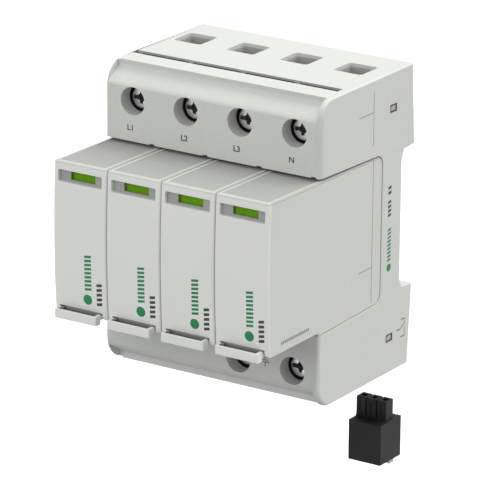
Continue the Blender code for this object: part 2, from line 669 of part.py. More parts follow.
def pin_x(number):
    """Centre of a signal pin and of the plug prong that covers it."""
    return PLUG_X[0] + PRONG_WIDTH / 2 + number * PIN_PITCH


def prong_y():
    front = PLUG_Y[0] + PRONG_SET_BACK
    return (front, front + PRONG_DEPTH)


def signal_socket():
    """Pin carrier in the lower wing, soldered to the circuit board."""
    carrier_x = (PLUG_X[0], PLUG_X[0] + 2 * PIN_PITCH + PRONG_WIDTH)
    socket = box("signal_socket", carrier_x, prong_y(), SOCKET_Z)
    centre_y = sum(prong_y()) / 2
    for number in range(3):
        join(socket, box(f"socket_pin_{number}", around(pin_x(number), PIN_WIDTH / 2),
                         around(centre_y, PIN_WIDTH / 2), (PIN_TIP_Z, SOCKET_Z[0] + GAP)))
    return finish_part(socket, "black")


def signal_circuit_board():
    return finish_part(box("signal_circuit_board", BOARD_X, BOARD_Y, BOARD_Z), "board")


def plug_housing():
    """Signal plug: block with three hollow prongs, wire holes and lever slots."""
    plug = box("plug_housing", PLUG_X, PLUG_Y, PLUG_Z)
    centre_y = sum(prong_y()) / 2
    top = PLUG_Z[1] + PRONG_HEIGHT
    slot_y = (LEVER_Y[0] - GAP, LEVER_Y[1] + GAP)
    slot_z = (PLUG_Z[0] - OVERSHOOT, LEVER_SLOT_TOP_Z)
    hole_z = (PLUG_Z[0] - OVERSHOOT, WIRE_HOLE_TOP_Z)
    for number in range(3):
        x = pin_x(number)
        join(plug, box(f"prong_{number}", around(x, PRONG_WIDTH / 2), prong_y(),
                       (PLUG_Z[1] - OVERSHOOT, top)))
    for number in range(3):
        x = pin_x(number)
        cut(plug,
            box(f"prong_hole_{number}", around(x, PRONG_HOLE / 2), around(centre_y, PRONG_HOLE / 2),
                (top - PRONG_HOLE_DEPTH, top + OVERSHOOT)),
            box(f"lever_slot_{number}", around(x, LEVER_WIDTH / 2 + GAP), slot_y, slot_z),
            rod_z(f"wire_hole_{number}", x, WIRE_HOLE_Y, WIRE_HOLE_RADIUS, hole_z))
    return finish_part(plug, "black", (pin_x(1), centre_y, PLUG_Z[1]))


def plug_lever(number):
    x = pin_x(number)
    lever = box(f"plug_lever_{number + 1}", around(x, LEVER_WIDTH / 2), LEVER_Y, LEVER_Z)
    return finish_part(lever, "lever", (x, sum(LEVER_Y) / 2, LEVER_Z[0]))


def bowed_front():
    """Slightly bowed front edge of a cartridge, from its chin to its top."""
    points = []
    for step in range(BOW_STEPS + 1):
        z = CARTRIDGE_CHIN_Z + (CARTRIDGE_TOP_Z - CARTRIDGE_CHIN_Z) * step / BOW_STEPS
        y = CARTRIDGE_FRONT_Y + BOW_DEPTH * ((z - BOW_CENTRE_Z) / BOW_HALF_HEIGHT) ** 2
        points.append((y, z))
    return points


def bay_line(y, side):
    """Height of a cartridge's face where it runs GAP inside the bay's edge line."""
    part = (y - SHOULDER_Y) / (BAY_BACK_Y - SHOULDER_Y)
    return side * (BAY_FRONT_Z + (BAY_BACK_Z - BAY_FRONT_Z) * part - GAP)


def cartridge_case(name, x):
    """Cartridge shell, open at the back, with the status window and the latch slot."""
    outline = bowed_front()
    outline += [(CASE_BACK_Y, bay_line(CASE_BACK_Y, 1)), (CASE_BACK_Y, bay_line(CASE_BACK_Y, -1))]
    outline += [(SHOULDER_Y, bay_line(SHOULDER_Y, -1)), (SHOULDER_Y, CARTRIDGE_CHIN_Z)]
    case = prism(name, outline, around(x, CARTRIDGE_HALF_WIDTH))
    inner_front = CARTRIDGE_FRONT_Y + CASE_FRONT_WALL
    back = CASE_BACK_Y + OVERSHOOT
    hollow = [
        (inner_front, CARTRIDGE_CHIN_Z + CASE_WALL),
        (inner_front, CARTRIDGE_TOP_Z - CASE_WALL),
        (back, bay_line(back, 1) - CASE_WALL),
        (back, bay_line(back, -1) + CASE_WALL),
    ]
    window_back = CARTRIDGE_FRONT_Y + WINDOW_DEPTH
    front = CARTRIDGE_FRONT_Y - OVERSHOOT
    cut(case,
        prism(f"{name}_hollow", hollow, around(x, CARTRIDGE_HALF_WIDTH - CASE_WALL)),
        box(f"{name}_window", (x + WINDOW_X[0], x + WINDOW_X[1]), (front, window_back), WINDOW_Z),
        box(f"{name}_peep", (x + PEEP_X[0], x + PEEP_X[1]), (front, inner_front + OVERSHOOT), PEEP_Z),
        box(f"{name}_latch_slot", around(x, TAB_HALF_WIDTH + GAP), (front, ARM_ROOT_Y + GAP),
            (TAB_Z[0] - OVERSHOOT, TAB_Z[1] + TAB_SWING)))
    return finish_part(case, "cartridge", (x, BAY_BACK_Y, 0.0))


def cartridge_rear_cover(name, x):
    """Plate that closes the back of a cartridge, slotted for its two blades."""
    front = CASE_BACK_Y + GAP
    back = BAY_BACK_Y - GAP
    radius = BAY_ROUND - GAP
    centre_y = BAY_BACK_Y - BAY_ROUND
    centre_z = BAY_BACK_Z - BAY_ROUND
    start = math.acos((front - centre_y) / radius)
    upper = []
    for step in range(ARC_STEPS + 1):
        angle = start * (1 - step / ARC_STEPS)
        upper.append((centre_y + radius * math.cos(angle), centre_z + radius * math.sin(angle)))
    outline = upper + [(y, -z) for y, z in reversed(upper)]
    cover = prism(name, outline, around(x, CARTRIDGE_HALF_WIDTH))
    for side in (1, -1):
        cut(cover, box(f"{name}_blade_slot_{side}", around(x, BLADE_SLOT_HALF_WIDTH),
                       (front - OVERSHOOT, back + OVERSHOOT),
                       span_z(side, BLADE_Z[0] - GAP, BLADE_Z[1] + GAP)))
    return finish_part(cover, "cartridge", (x, BAY_BACK_Y, 0.0))


def varistor(name, x):
    block = box(name, around(x, VARISTOR_HALF_THICKNESS), VARISTOR_Y, VARISTOR_Z)
    rounding = block.modifiers.new("Rounded", "BEVEL")
    rounding.width = VARISTOR_ROUND
    rounding.segments = 1
    return finish_part(block, "varistor", (x, BAY_BACK_Y, 0.0))


def blade(name, x, side):
    """Electrode strip beside the varistor, bent in to the blade that enters the fork."""
    path = [(side * ELECTRODE_X, ELECTRODE_FRONT_Y), (side * ELECTRODE_X, ELECTRODE_BEND_Y),
            (0.0, BLADE_BEND_Y), (0.0, BLADE_TIP_Y)]
    low, high = sorted(span_z(side, *BLADE_Z))
    count = len(path)
    points = [(x + a, b, z) for z in (low, high) for a, b in path]
    faces = [(step, step + 1, count + step + 1, count + step) for step in range(count - 1)]
    mesh = bpy.data.meshes.new(name)
    mesh.from_pydata(points, [], faces)
    strip = add_object(name, mesh)
    wall = strip.modifiers.new("Thickness", "SOLIDIFY")
    wall.thickness = BLADE_THICKNESS
    wall.offset = 0.0
    wall.use_even_offset = True
    return finish_part(strip, "copper", (x, BAY_BACK_Y, 0.0))


def status_flag(name, x):
    """Flag behind the window, with a stem down to the thermal disconnector."""
    front = CARTRIDGE_FRONT_Y + CASE_FRONT_WALL + GAP
    flag_y = (front, front + FLAG_THICKNESS)
    flag = box(name, around(x, FLAG_HALF_WIDTH), flag_y, FLAG_Z)
    join(flag, box(f"{name}_stem", around(x, FLAG_STEM_HALF_WIDTH), flag_y,
                   (FLAG_STEM_Z, FLAG_Z[0] + OVERSHOOT)))
    return finish_part(flag, "flag", (x, front, FLAG_Z[0]))


def release_latch(name, x):
    """Finger tab on a flexing arm along the cartridge's underside."""
    low, high = TAB_Z
    outline = [
        (TAB_FRONT_Y, low),
        (TAB_FRONT_Y, high),
        (TAB_FRONT_Y + TAB_WALL, high),
        (TAB_FRONT_Y + TAB_WALL, high - TAB_GROOVE_DEPTH),
        (TAB_BACK_Y - TAB_WALL, high - TAB_GROOVE_DEPTH),
        (TAB_BACK_Y - TAB_WALL, high),
        (ARM_ROOT_Y, high),
        (ARM_ROOT_Y, high - ARM_THICKNESS),
        (TAB_BACK_Y + TAB_WALL, high - ARM_THICKNESS),
        (TAB_BACK_Y, low),
    ]
    latch = prism(name, outline, around(x, TAB_HALF_WIDTH))
    return finish_part(latch, "cartridge", (x, ARM_ROOT_Y, high - ARM_THICKNESS / 2))


def base():
    base_housing()
    base_rear()
    left = side_cover("side_cover_left", (-HALF_WIDTH, -HALF_WIDTH + COVER_THICKNESS))
    through_left = (-HALF_WIDTH - OVERSHOOT, -HALF_WIDTH + COVER_THICKNESS + OVERSHOOT)
    cut(left, box("left_cover_slot", through_left, SLOT_Y, (HALF_HEIGHT - SLOT_DEPTH, HALF_HEIGHT + OVERSHOOT)))
    side_cover("side_cover_right", (HALF_WIDTH - COVER_THICKNESS, HALF_WIDTH))
    rail_latch()
    rail_latch_spring()
    earth_busbar()
    for number, x in enumerate(POLE_X, 1):
        terminal_screw(f"line_screw_{number}", x, 1)
        clamp_cage(f"line_clamp_{number}", x, 1)
        line_contact(f"line_contact_{number}", x)
    for number, x in enumerate(EARTH_X, 1):
        terminal_screw(f"earth_screw_{number}", x, -1)
        clamp_cage(f"earth_clamp_{number}", x, -1)


def signalling():
    signal_rocker()
    signal_microswitch()
    signal_circuit_board()
    signal_socket()
    plug_housing()
    for number in range(3):
        plug_lever(number)


def cartridges():
    for number, x in enumerate(POLE_X, 1):
        cartridge_case(f"cartridge_case_{number}", x)
        cartridge_rear_cover(f"cartridge_rear_{number}", x)
        varistor(f"varistor_{number}", x)
        blade(f"line_blade_{number}", x, 1)
        blade(f"earth_blade_{number}", x, -1)
        status_flag(f"status_flag_{number}", x)
        release_latch(f"release_latch_{number}", x)


base()
signalling()
cartridges()
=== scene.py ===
"""Visual model of a four-pole surge protector, built around its CAD model.

Everything is in metres in the CAD's own frame: X runs across the poles, Y from front to back with
0 on the rail seat, Z up with 0 on the rail's centre line.
"""
import math

import bmesh
import bpy
from mathutils import Matrix, Vector


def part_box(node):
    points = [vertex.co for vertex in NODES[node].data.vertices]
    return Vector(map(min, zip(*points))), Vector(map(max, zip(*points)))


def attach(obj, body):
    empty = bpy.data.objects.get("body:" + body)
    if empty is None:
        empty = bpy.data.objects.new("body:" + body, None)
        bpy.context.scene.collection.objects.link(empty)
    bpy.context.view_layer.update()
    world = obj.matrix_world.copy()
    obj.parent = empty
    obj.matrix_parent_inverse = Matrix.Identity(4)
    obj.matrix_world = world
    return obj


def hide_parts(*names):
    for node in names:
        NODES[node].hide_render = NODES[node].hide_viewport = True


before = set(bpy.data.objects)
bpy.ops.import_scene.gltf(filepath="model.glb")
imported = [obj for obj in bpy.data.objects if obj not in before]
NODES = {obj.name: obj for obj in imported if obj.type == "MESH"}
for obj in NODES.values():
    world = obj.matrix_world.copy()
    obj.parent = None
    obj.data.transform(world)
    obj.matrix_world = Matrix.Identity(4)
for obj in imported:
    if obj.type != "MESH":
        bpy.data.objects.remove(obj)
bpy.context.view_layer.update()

MM = 0.001


def middle_x(node):
    low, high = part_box(node)
    return (low.x + high.x) / 2


# Places read from the CAD model.
COVER_LOW, COVER_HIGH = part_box("side_cover_right")
HOUSING_LOW, HOUSING_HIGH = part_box("base_housing")
CASE_LOW, CASE_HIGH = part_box("cartridge_case_1")
POLES = [middle_x(f"cartridge_case_{pole}") for pole in (1, 2, 3, 4)]
EARTH_X = [middle_x(f"earth_screw_{number}") for number in (1, 2)]
HALF_WIDTH = COVER_HIGH.x
HALF_HEIGHT = COVER_HIGH.z
COVER_INNER_X = COVER_LOW.x
SHOULDER_Y = HOUSING_LOW.y
HOUSING_BACK_Y = HOUSING_HIGH.y
WING_LIP_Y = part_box("base_rear")[1].y
CASE_FRONT_Y = CASE_LOW.y
CASE_BACK_Y = CASE_HIGH.y
CASE_TOP_Z = CASE_HIGH.z

# Shapes shared with the CAD model: bay of the cartridges, outline of the base, terminals.
SEAM = 0.02 * MM
BAY_BACK_Y = -10.3 * MM
BAY_FRONT_Z = 22.95 * MM
BAY_BACK_Z = 21.95 * MM
BAY_ROUND = 3.0 * MM
BAY_GAP = 0.3 * MM
TOP_ROUND = 5.2 * MM
BOTTOM_ROUND = 6.0 * MM
WING_END_Y = 5.4 * MM
RECESS_NOTCH = (1.3 * MM, 20.6 * MM)
RECESS_LIP_Z = 21.0 * MM
RAIL_WALL_Z = 17.7 * MM
SCREW_Z = 34.8 * MM
CHAMBER_Z = (28.3 * MM, 40.7 * MM)
CHAMBER_HALF_WIDTH = 6.1 * MM
ENTRY_SHIFT_X = -1.25 * MM
ENTRY_HALF_WIDTH = 4.1 * MM
ENTRY_Y = (-13.1 * MM, -4.8 * MM)
COVE_Z = (38.6 * MM, 43.7 * MM)
COVE_DEPTH = {1: 5.3 * MM, -1: 6.0 * MM}
SLOT_Y = (-31.0 * MM, -28.2 * MM)
SLOT_SHELF = 1.5 * MM
SLOT_WALL = 0.7 * MM
SLOT_CAVITY_Y = (-30.9 * MM, -27.0 * MM)
SLOT_END_X = 33.4 * MM
BRIDGES_X = [position * MM for position in (-17.2, 0.4, 18.5)]
NOTCHES_X = [position * MM for position in (-20.5, -2.5, 15.5, 33.4)]
SNAP_Y = (-6.9 * MM, -3.3 * MM)
SNAP_Z = (33.1 * MM, 35.5 * MM)
CHIN_Z = -21.8 * MM
BOW_CENTRE_Z = 3.0 * MM
BOW_DEPTH = 0.6 * MM
BOW_HALF_HEIGHT = 20.0 * MM
CASE_WALL = 1.2 * MM
WINDOW_Z = (16.8 * MM, 20.25 * MM)
TAB_BACK_Y = -68.9 * MM

# Finer shapes that only the visual model has; its cartridges are wider, to leave thin gaps.
CASE_HALF_WIDTH = (CASE_HIGH.x - CASE_LOW.x) / 2 + 0.06 * MM
LEFT_ROUNDS = (7.0 * MM, 8.0 * MM)
LEFT_SKIN = 0.3 * MM
CREST_WIDTH = 0.5 * MM
TONGUE_DEPTH = 0.12 * MM
TOP_RECESS = 0.28 * MM
LIP_RISE = 0.5 * MM
LARGE_FACE = 100 * MM * MM
INK_THICKNESS = 0.02 * MM
PRINT_DEPTH = 0.05 * MM

# Directions of an outline's two axes and of its extrusion, for outlines seen from three sides.
IN_SIDE = ((0, 1, 0), (0, 0, 1), (1, 0, 0))
IN_PLAN = ((1, 0, 0), (0, 1, 0), (0, 0, 1))
IN_FRONT = ((1, 0, 0), (0, 0, 1), (0, -1, 0))


# ---------------------------------------------------------------- mesh helpers

def new_object(name, data):
    thing = bpy.data.objects.new(name, data)
    bpy.context.scene.collection.objects.link(thing)
    return thing


def mesh_object(name, shape):
    mesh = bpy.data.meshes.new(name)
    shape.to_mesh(mesh)
    shape.free()
    return new_object(name, mesh)


def around(centre, half):
    return (centre - half, centre + half)


def box(x, y, z):
    """Box between the given spans along X, Y and Z."""
    spans = [sorted(span) for span in (x, y, z)]
    centre = [(low + high) / 2 for low, high in spans]
    size = [high - low for low, high in spans]
    shape = bmesh.new()
    matrix = Matrix.Translation(centre) @ Matrix.Diagonal((*size, 1.0))
    bmesh.ops.create_cube(shape, size=1.0, matrix=matrix)
    return mesh_object("box", shape)


def rod(centre, radius, length, axis, segments, end_radius=None):
    """Round rod or cone along Y or Z; a cone's second radius is at the axis's far end."""
    turns = {"Y": Matrix.Rotation(-math.pi / 2, 4, "X"), "Z": Matrix.Identity(4)}
    shape = bmesh.new()
    bmesh.ops.create_cone(
        shape, cap_ends=True, segments=segments, radius1=radius,
        radius2=radius if end_radius is None else end_radius, depth=length,
        matrix=Matrix.Translation(centre) @ turns[axis])
    return mesh_object("rod", shape)


def rounded(corners, steps=8):
    """Outline of points from (a, b, radius) corners, with an arc at each corner that has a radius."""
    outline = []
    count = len(corners)
    for index, (a, b, radius) in enumerate(corners):
        corner = Vector((a, b))
        if radius == 0.0:
            outline.append((a, b))
            continue
        before = (Vector(corners[index - 1][:2]) - corner).normalized()
        after = (Vector(corners[(index + 1) % count][:2]) - corner).normalized()
        half_angle = before.angle(after) / 2
        centre = corner + (before + after).normalized() * radius / math.sin(half_angle)
        start = corner + before * radius / math.tan(half_angle) - centre
        end = corner + after * radius / math.tan(half_angle) - centre
        turn = start.angle_signed(end)
        for step in range(steps + 1):
            spoke = Matrix.Rotation(-turn * step / steps, 2) @ start
            outline.append(tuple(centre + spoke))
    return outline


def rectangle(a_span, b_span, radius, steps):
    """Outline of a rectangle with rounded corners."""
    (a_low, a_high), (b_low, b_high) = a_span, b_span
    corners = [(a_low, b_low), (a_high, b_low), (a_high, b_high), (a_low, b_high)]
    return rounded([(a, b, radius) for a, b in corners], steps)


def prism(outline, span, columns=IN_SIDE):
    """Extruded outline; columns are the directions of its first, second and extrusion axis."""
    across, along, out = (Vector(column) for column in columns)
    shape = bmesh.new()
    lower = [shape.verts.new(across * a + along * b + out * span[0]) for a, b in outline]
    upper = [shape.verts.new(across * a + along * b + out * span[1]) for a, b in outline]
    shape.faces.new(lower)
    shape.faces.new(list(reversed(upper)))
    count = len(outline)
    for index in range(count):
        after = (index + 1) % count
        shape.faces.new((lower[index], upper[index], upper[after], lower[after]))
    bmesh.ops.recalc_face_normals(shape, faces=shape.faces)
    return mesh_object("prism", shape)


def bake(thing):
    """Turns the object's modifiers into its mesh."""
    evaluated = thing.evaluated_get(bpy.context.evaluated_depsgraph_get())
    mesh = bpy.data.meshes.new_from_object(evaluated)
    thing.modifiers.clear()
    thing.data = mesh
    return thing


def combine(target, operation, tools):
    for tool in tools:
        modifier = target.modifiers.new("combine", "BOOLEAN")
        modifier.operation = operation
        modifier.solver = "EXACT"
        modifier.object = tool
    bake(target)
    for tool in tools:
        bpy.data.objects.remove(tool, do_unlink=True)
    return target


def cut(target, *tools):
    return combine(target, "DIFFERENCE", tools)


def join(target, *tools):
    return combine(target, "UNION", tools)


def round_edges(thing, width, chooser, segments=4):
    """Bevels the edges that the chooser accepts; it sees the edge's two end points."""
    shape = bmesh.new()
    shape.from_mesh(thing.data)
    chosen = [edge for edge in shape.edges if chooser(edge.verts[0].co, edge.verts[1].co)]
    bmesh.ops.bevel(shape, geom=chosen, offset=width, segments=segments, profile=0.5,
                    affect="EDGES", clamp_overlap=True)
    shape.to_mesh(thing.data)
    shape.free()
    return thing


def soften(thing, width, segments=3, angle=35.0):
    """Small even bevel on every sharp edge, with flat faces kept flat in the shading."""
    edge = thing.modifiers.new("edges", "BEVEL")
    edge.width = width
    edge.segments = segments
    edge.limit_method = "ANGLE"
    edge.angle_limit = math.radians(angle)
    thing.data.shade_smooth()
    add_weighted_normals(thing, 100)
    return thing


def add_weighted_normals(thing, weight=50):
    """Shading that follows the large faces and stops at sharp edges."""
    normals = thing.modifiers.new("normals", "WEIGHTED_NORMAL")
    normals.keep_sharp = True
    normals.weight = weight


def keep_flat(thing):
    """Smooth shading that leaves large flat faces flat and real corners sharp."""
    if "custom_normal" in thing.data.attributes:
        thing.data.attributes.remove(thing.data.attributes["custom_normal"])
    thing.data.shade_smooth()
    for face in thing.data.polygons:
        if face.area > LARGE_FACE:
            face.use_smooth = False
    thing.data.set_sharp_from_angle(angle=math.radians(50))
    add_weighted_normals(thing, 100)


def trim_sides(thing, half):
    """Cuts a piece off square at -half and +half along X."""
    far = 200 * MM
    cut(thing, *[box((end * half, end * far), around(0.0, far), around(0.0, far)) for end in (1, -1)])


def paint(thing, material, *tests):
    """Gives the material to the faces whose corners all pass one of the tests."""
    thing.data.materials.append(material)
    slot_index = len(thing.data.materials) - 1
    points = thing.data.vertices
    for face in thing.data.polygons:
        corners = [points[index].co for index in face.vertices]
        if any(all(test(corner) for corner in corners) for test in tests):
            face.material_index = slot_index


def place(thing, name, body, slot, material, *replaced):
    """Names a finished piece, gives it its material and hands it to its CAD body."""
    thing.name = name
    thing.data.name = name
    thing.data.materials.clear()
    thing.data.materials.append(material)
    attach(thing, body)
    if replaced:
        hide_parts(*replaced)
    return thing


# ---------------------------------------------------------------- materials

def shader_material(name, roughness, metallic=0.0, coat=0.0, specular=0.5):
    material = bpy.data.materials.new(name)
    material.use_nodes = True
    shader = material.node_tree.nodes["Principled BSDF"]
    shader.inputs["Roughness"].default_value = roughness
    shader.inputs["Metallic"].default_value = metallic
    shader.inputs["Coat Weight"].default_value = coat
    shader.inputs["Coat Roughness"].default_value = 0.15
    shader.inputs["Specular IOR Level"].default_value = specular
    return material, shader


def noise(tree, scale, detail=2.0, stretch=(1.0, 1.0, 1.0)):
    """Noise in object space; scale is in waves a metre."""
    coordinates = tree.nodes.new("ShaderNodeTexCoord")
    mapping = tree.nodes.new("ShaderNodeMapping")
    mapping.inputs["Scale"].default_value = stretch
    texture = tree.nodes.new("ShaderNodeTexNoise")
    texture.inputs["Scale"].default_value = scale
    texture.inputs["Detail"].default_value = detail
    tree.links.new(coordinates.outputs["Object"], mapping.inputs["Vector"])
    tree.links.new(mapping.outputs["Vector"], texture.inputs["Vector"])
    return texture.outputs["Fac"]


def spread(tree, source, low, high):
    """Maps the middle of a noise onto low..high."""
    node = tree.nodes.new("ShaderNodeMapRange")
    node.inputs["From Min"].default_value = 0.3
    node.inputs["From Max"].default_value = 0.7
    node.inputs["To Min"].default_value = low
    node.inputs["To Max"].default_value = high
    tree.links.new(source, node.inputs["Value"])
    return node.outputs["Result"]


def blend_colours(tree, factor, first, second):
    node = tree.nodes.new("ShaderNodeMix")
    node.data_type = "RGBA"
    tree.links.new(factor, node.inputs[0])
    for socket, colour in ((node.inputs[6], first), (node.inputs[7], second)):
        if isinstance(colour, bpy.types.NodeSocket):
            tree.links.new(colour, socket)
        else:
            socket.default_value = (*colour, 1.0)
    return node.outputs[2]


def add_bump(tree, shader, heights, distance):
    """Chains bump nodes; heights are (socket, strength) pairs."""
    normal = None
    for height, strength in heights:
        bump = tree.nodes.new("ShaderNodeBump")
        bump.inputs["Strength"].default_value = strength
        bump.inputs["Distance"].default_value = distance
        tree.links.new(height, bump.inputs["Height"])
        if normal is not None:
            tree.links.new(normal, bump.inputs["Normal"])
        normal = bump.outputs["Normal"]
    tree.links.new(normal, shader.inputs["Normal"])


def plastic(name, colour, roughness, grain=2600.0, depth=0.25, mottle=0.03, speck=0.03,
            coat=0.0, specular=0.5):
    """Moulded plastic: eroded grain, faint flow mottling and specks, uneven gloss."""
    material, shader = shader_material(name, roughness, 0.0, coat, specular)
    tree = material.node_tree
    fine = noise(tree, grain, 3.0)
    broad = noise(tree, 45.0, 2.0)
    dust = noise(tree, grain * 0.55, 1.0)
    light = tuple(min(1.0, channel * (1 + mottle)) for channel in colour)
    dark = tuple(channel * (1 - mottle) for channel in colour)
    specks = tuple(channel * (1 - 3 * speck) for channel in colour)
    flow = blend_colours(tree, spread(tree, broad, 0.0, 1.0), dark, light)
    tone = blend_colours(tree, spread(tree, dust, 0.0, 0.35), flow, specks)
    gloss = spread(tree, fine, roughness - 0.05, roughness + 0.06)
    tree.links.new(tone, shader.inputs["Base Color"])
    tree.links.new(gloss, shader.inputs["Roughness"])
    add_bump(tree, shader, [(fine, depth), (noise(tree, 160.0), 0.04)], 0.06 * MM)
    return material


def metal(name, colour, roughness, stretch=(1.0, 1.0, 1.0), depth=0.2, stain=0.12):
    """Plated or bare metal with fine scratches and slightly stained patches."""
    material, shader = shader_material(name, roughness, 1.0)
    tree = material.node_tree
    scratches = noise(tree, 3000.0, 4.0, stretch)
    patches = noise(tree, 350.0, 3.0)
    dark = tuple(channel * (1 - stain) for channel in colour)
    tone = blend_colours(tree, spread(tree, patches, 0.0, 1.0), dark, colour)
    gloss = spread(tree, scratches, roughness - 0.08, roughness + 0.12)
    tree.links.new(tone, shader.inputs["Base Color"])
    tree.links.new(gloss, shader.inputs["Roughness"])
    add_bump(tree, shader, [(scratches, depth)], 0.03 * MM)
    return material


def make_materials():
    """All materials by their look; colours are linear red, green and blue."""
    return {
        "housing": plastic("housing_plastic", (0.60, 0.613, 0.578), 0.55,
                           grain=2000.0, depth=0.5, mottle=0.015),
        # Painted shade: a darker copy of the housing grey for recess walls, snap tongues and the gaps
        # between cartridges.
        "housing_painted_shade": plastic("housing_painted_shade", (0.40, 0.41, 0.385), 0.6),
        "cartridge": plastic("cartridge_plastic", (0.75, 0.765, 0.73), 0.36,
                             grain=3800.0, depth=0.06, mottle=0.012, speck=0.004, coat=0.25),
        "textured": plastic("cartridge_textured", (0.36, 0.367, 0.348), 0.75,
                            grain=1700.0, depth=0.8, mottle=0.02, speck=0.04),
        "window": plastic("window_frame", (0.35, 0.355, 0.35), 0.5, grain=3000.0, depth=0.1),
        # Painted shade: near black put deep in the slot cavity and the screw bores, where only shade falls.
        "dark": plastic("painted_deep_shade", (0.012, 0.012, 0.012), 0.7, grain=3000.0, depth=0.1),
        # Painted shade: dark grey for snap window rings, wire entry steps and the tab groove.
        "shade": plastic("painted_shade_plastic", (0.27, 0.27, 0.27), 0.6, grain=3000.0, depth=0.1),
        # Painted shade: darkened steel for the screw heads' cross and slot recess.
        "steel_painted_shade": metal("recess_painted_shade", (0.09, 0.09, 0.095), 0.4),
        "flag": plastic("flag_green", (0.13, 0.34, 0.0), 0.5,
                        grain=3000.0, depth=0.05, mottle=0.05, speck=0.02, specular=0.15),
        "fault": plastic("flag_red", (0.55, 0.02, 0.015), 0.4,
                         grain=3000.0, depth=0.05, mottle=0.05, speck=0.02),
        "black": plastic("plug_plastic", (0.014, 0.014, 0.014), 0.5,
                         grain=2600.0, depth=0.35, mottle=0.2, speck=0.05, specular=0.15),
        "lever": plastic("lever_plastic", (0.60, 0.61, 0.60), 0.45, grain=3000.0, depth=0.15),
        "steel": metal("plated_steel", (0.62, 0.62, 0.63), 0.28),
        "copper": metal("copper_strip", (0.80, 0.42, 0.26), 0.32, stretch=(1.0, 0.08, 1.0), stain=0.25),
        "coating": plastic("varistor_coating", (0.015, 0.07, 0.30), 0.3,
                           grain=900.0, depth=0.5, mottle=0.12, speck=0.05),
        "board": plastic("board_laminate", (0.012, 0.16, 0.05), 0.3,
                         grain=1500.0, depth=0.2, mottle=0.15, speck=0.1),
        "ink": ink("black_ink", (0.03, 0.03, 0.032), 0.6),
        "grey_ink": ink("grey_ink", (0.045, 0.045, 0.045), 0.6),
        "green_ink": ink("green_ink", (0.0, 0.20, 0.065), 0.55),
    }


def ink(name, colour, roughness):
    return plastic(name, colour, roughness, grain=4000.0, depth=0.2, mottle=0.2, speck=0.05)


LOOK = make_materials()


# ---------------------------------------------------------------- base

def rear_edge():
    """Outline of the rail recess, from the top of the base to its bottom."""
    upper = [(WING_END_Y, HALF_HEIGHT), (WING_LIP_Y, RECESS_LIP_Z), RECESS_NOTCH, (0.0, RAIL_WALL_Z)]
    return upper + [(y, -z) for y, z in reversed(upper)]


def cove(side, steps=20):
    """Hollow curve from the flat front of a shoulder back to the lip of its outer face."""
    start_z, end_z = COVE_Z
    depth = COVE_DEPTH[side]
    points = []
    for step in range(steps + 1):
        part = step / steps
        y = SHOULDER_Y + depth * (1 - math.cos(math.pi * part)) / 2
        points.append((y, side * (start_z + (end_z - start_z) * part)))
    points.append((SHOULDER_Y + depth - 0.35 * MM, side * HALF_HEIGHT))
    return points


def cove_tools(crest_x):
    """Cutters that carry the hollow curves into the left cover, as far as its crest."""
    tools = []
    for side in (1, -1):
        curve = cove(side)
        (first_y, first_z), (last_y, last_z) = curve[0], curve[-1]
        beyond_z = last_z + side * 2 * MM
        ahead_y = SHOULDER_Y - 3 * MM
        below_z = first_z - side * MM
        outline = curve + [(last_y, beyond_z), (ahead_y, beyond_z), (ahead_y, below_z), (first_y, below_z)]
        tools.append(prism(outline, (crest_x, -COVER_INNER_X + MM)))
    return tools


def cover_plate(inner, outer):
    """Side plate with a wide fillet along the front and the top that fades towards the back."""
    top_round, bottom_round = (TOP_ROUND, BOTTOM_ROUND) if outer > 0 else LEFT_ROUNDS
    corners = [(SHOULDER_Y, BAY_FRONT_Z, 0.0), (SHOULDER_Y, HALF_HEIGHT, top_round)]
    corners += [(y, z, 0.0) for y, z in rear_edge()]
    corners += [
        (SHOULDER_Y, -HALF_HEIGHT, bottom_round),
        (SHOULDER_Y, -BAY_FRONT_Z, 0.0),
        (BAY_BACK_Y, -BAY_BACK_Z, BAY_ROUND),
        (BAY_BACK_Y, BAY_BACK_Z, BAY_ROUND),
    ]
    cover = prism(rounded(corners, 10), sorted((inner, outer)))
    if outer < 0:
        slot_z = (HALF_HEIGHT - SLOT_SHELF, HALF_HEIGHT + MM)
        cut(cover, box((outer + LEFT_SKIN, outer + 5 * MM), SLOT_Y, slot_z))
    weigh_cover_edges(cover.data, outer)
    edge = cover.modifiers.new("fillets", "BEVEL")
    edge.limit_method = "WEIGHT"
    edge.width = 1.5 * MM
    edge.segments = 6
    edge.use_clamp_overlap = False
    return bake(cover)


def weigh_cover_edges(mesh, outer):
    """Bevel weights of a side plate: largest at the front of the shoulders, fading over their rounds."""
    weights = mesh.attributes.new("bevel_weight_edge", "FLOAT", "EDGE")
    front_weight = 0.9 if outer > 0 else 0.4
    back_weight = 0.3
    bay_weight = 0.1
    inner_weight = 0.12
    for edge in mesh.edges:
        a, b = (mesh.vertices[index].co for index in edge.vertices)
        middle = (a + b) / 2
        height = abs(middle.z)
        part = (middle.y - SHOULDER_Y) / BOTTOM_ROUND
        in_top_slot = SLOT_Y[0] - SEAM < middle.y < SLOT_Y[1] + SEAM and middle.z > 0.0
        weight = 0.0
        if a.x == b.x and not in_top_slot:
            if abs(a.x - outer) < 1e-6:
                if part < 1.05 and height > BAY_FRONT_Z:
                    weight = front_weight + (back_weight - front_weight) * max(0.0, min(1.0, part))
                elif height > HALF_HEIGHT - MM or (height > RECESS_LIP_Z and middle.y > BAY_BACK_Y):
                    weight = back_weight
                else:
                    weight = bay_weight
            elif part < 1.05 and height > HALF_HEIGHT - BOTTOM_ROUND - 0.5 * MM:
                weight = inner_weight
        weights.data[edge.index].value = weight


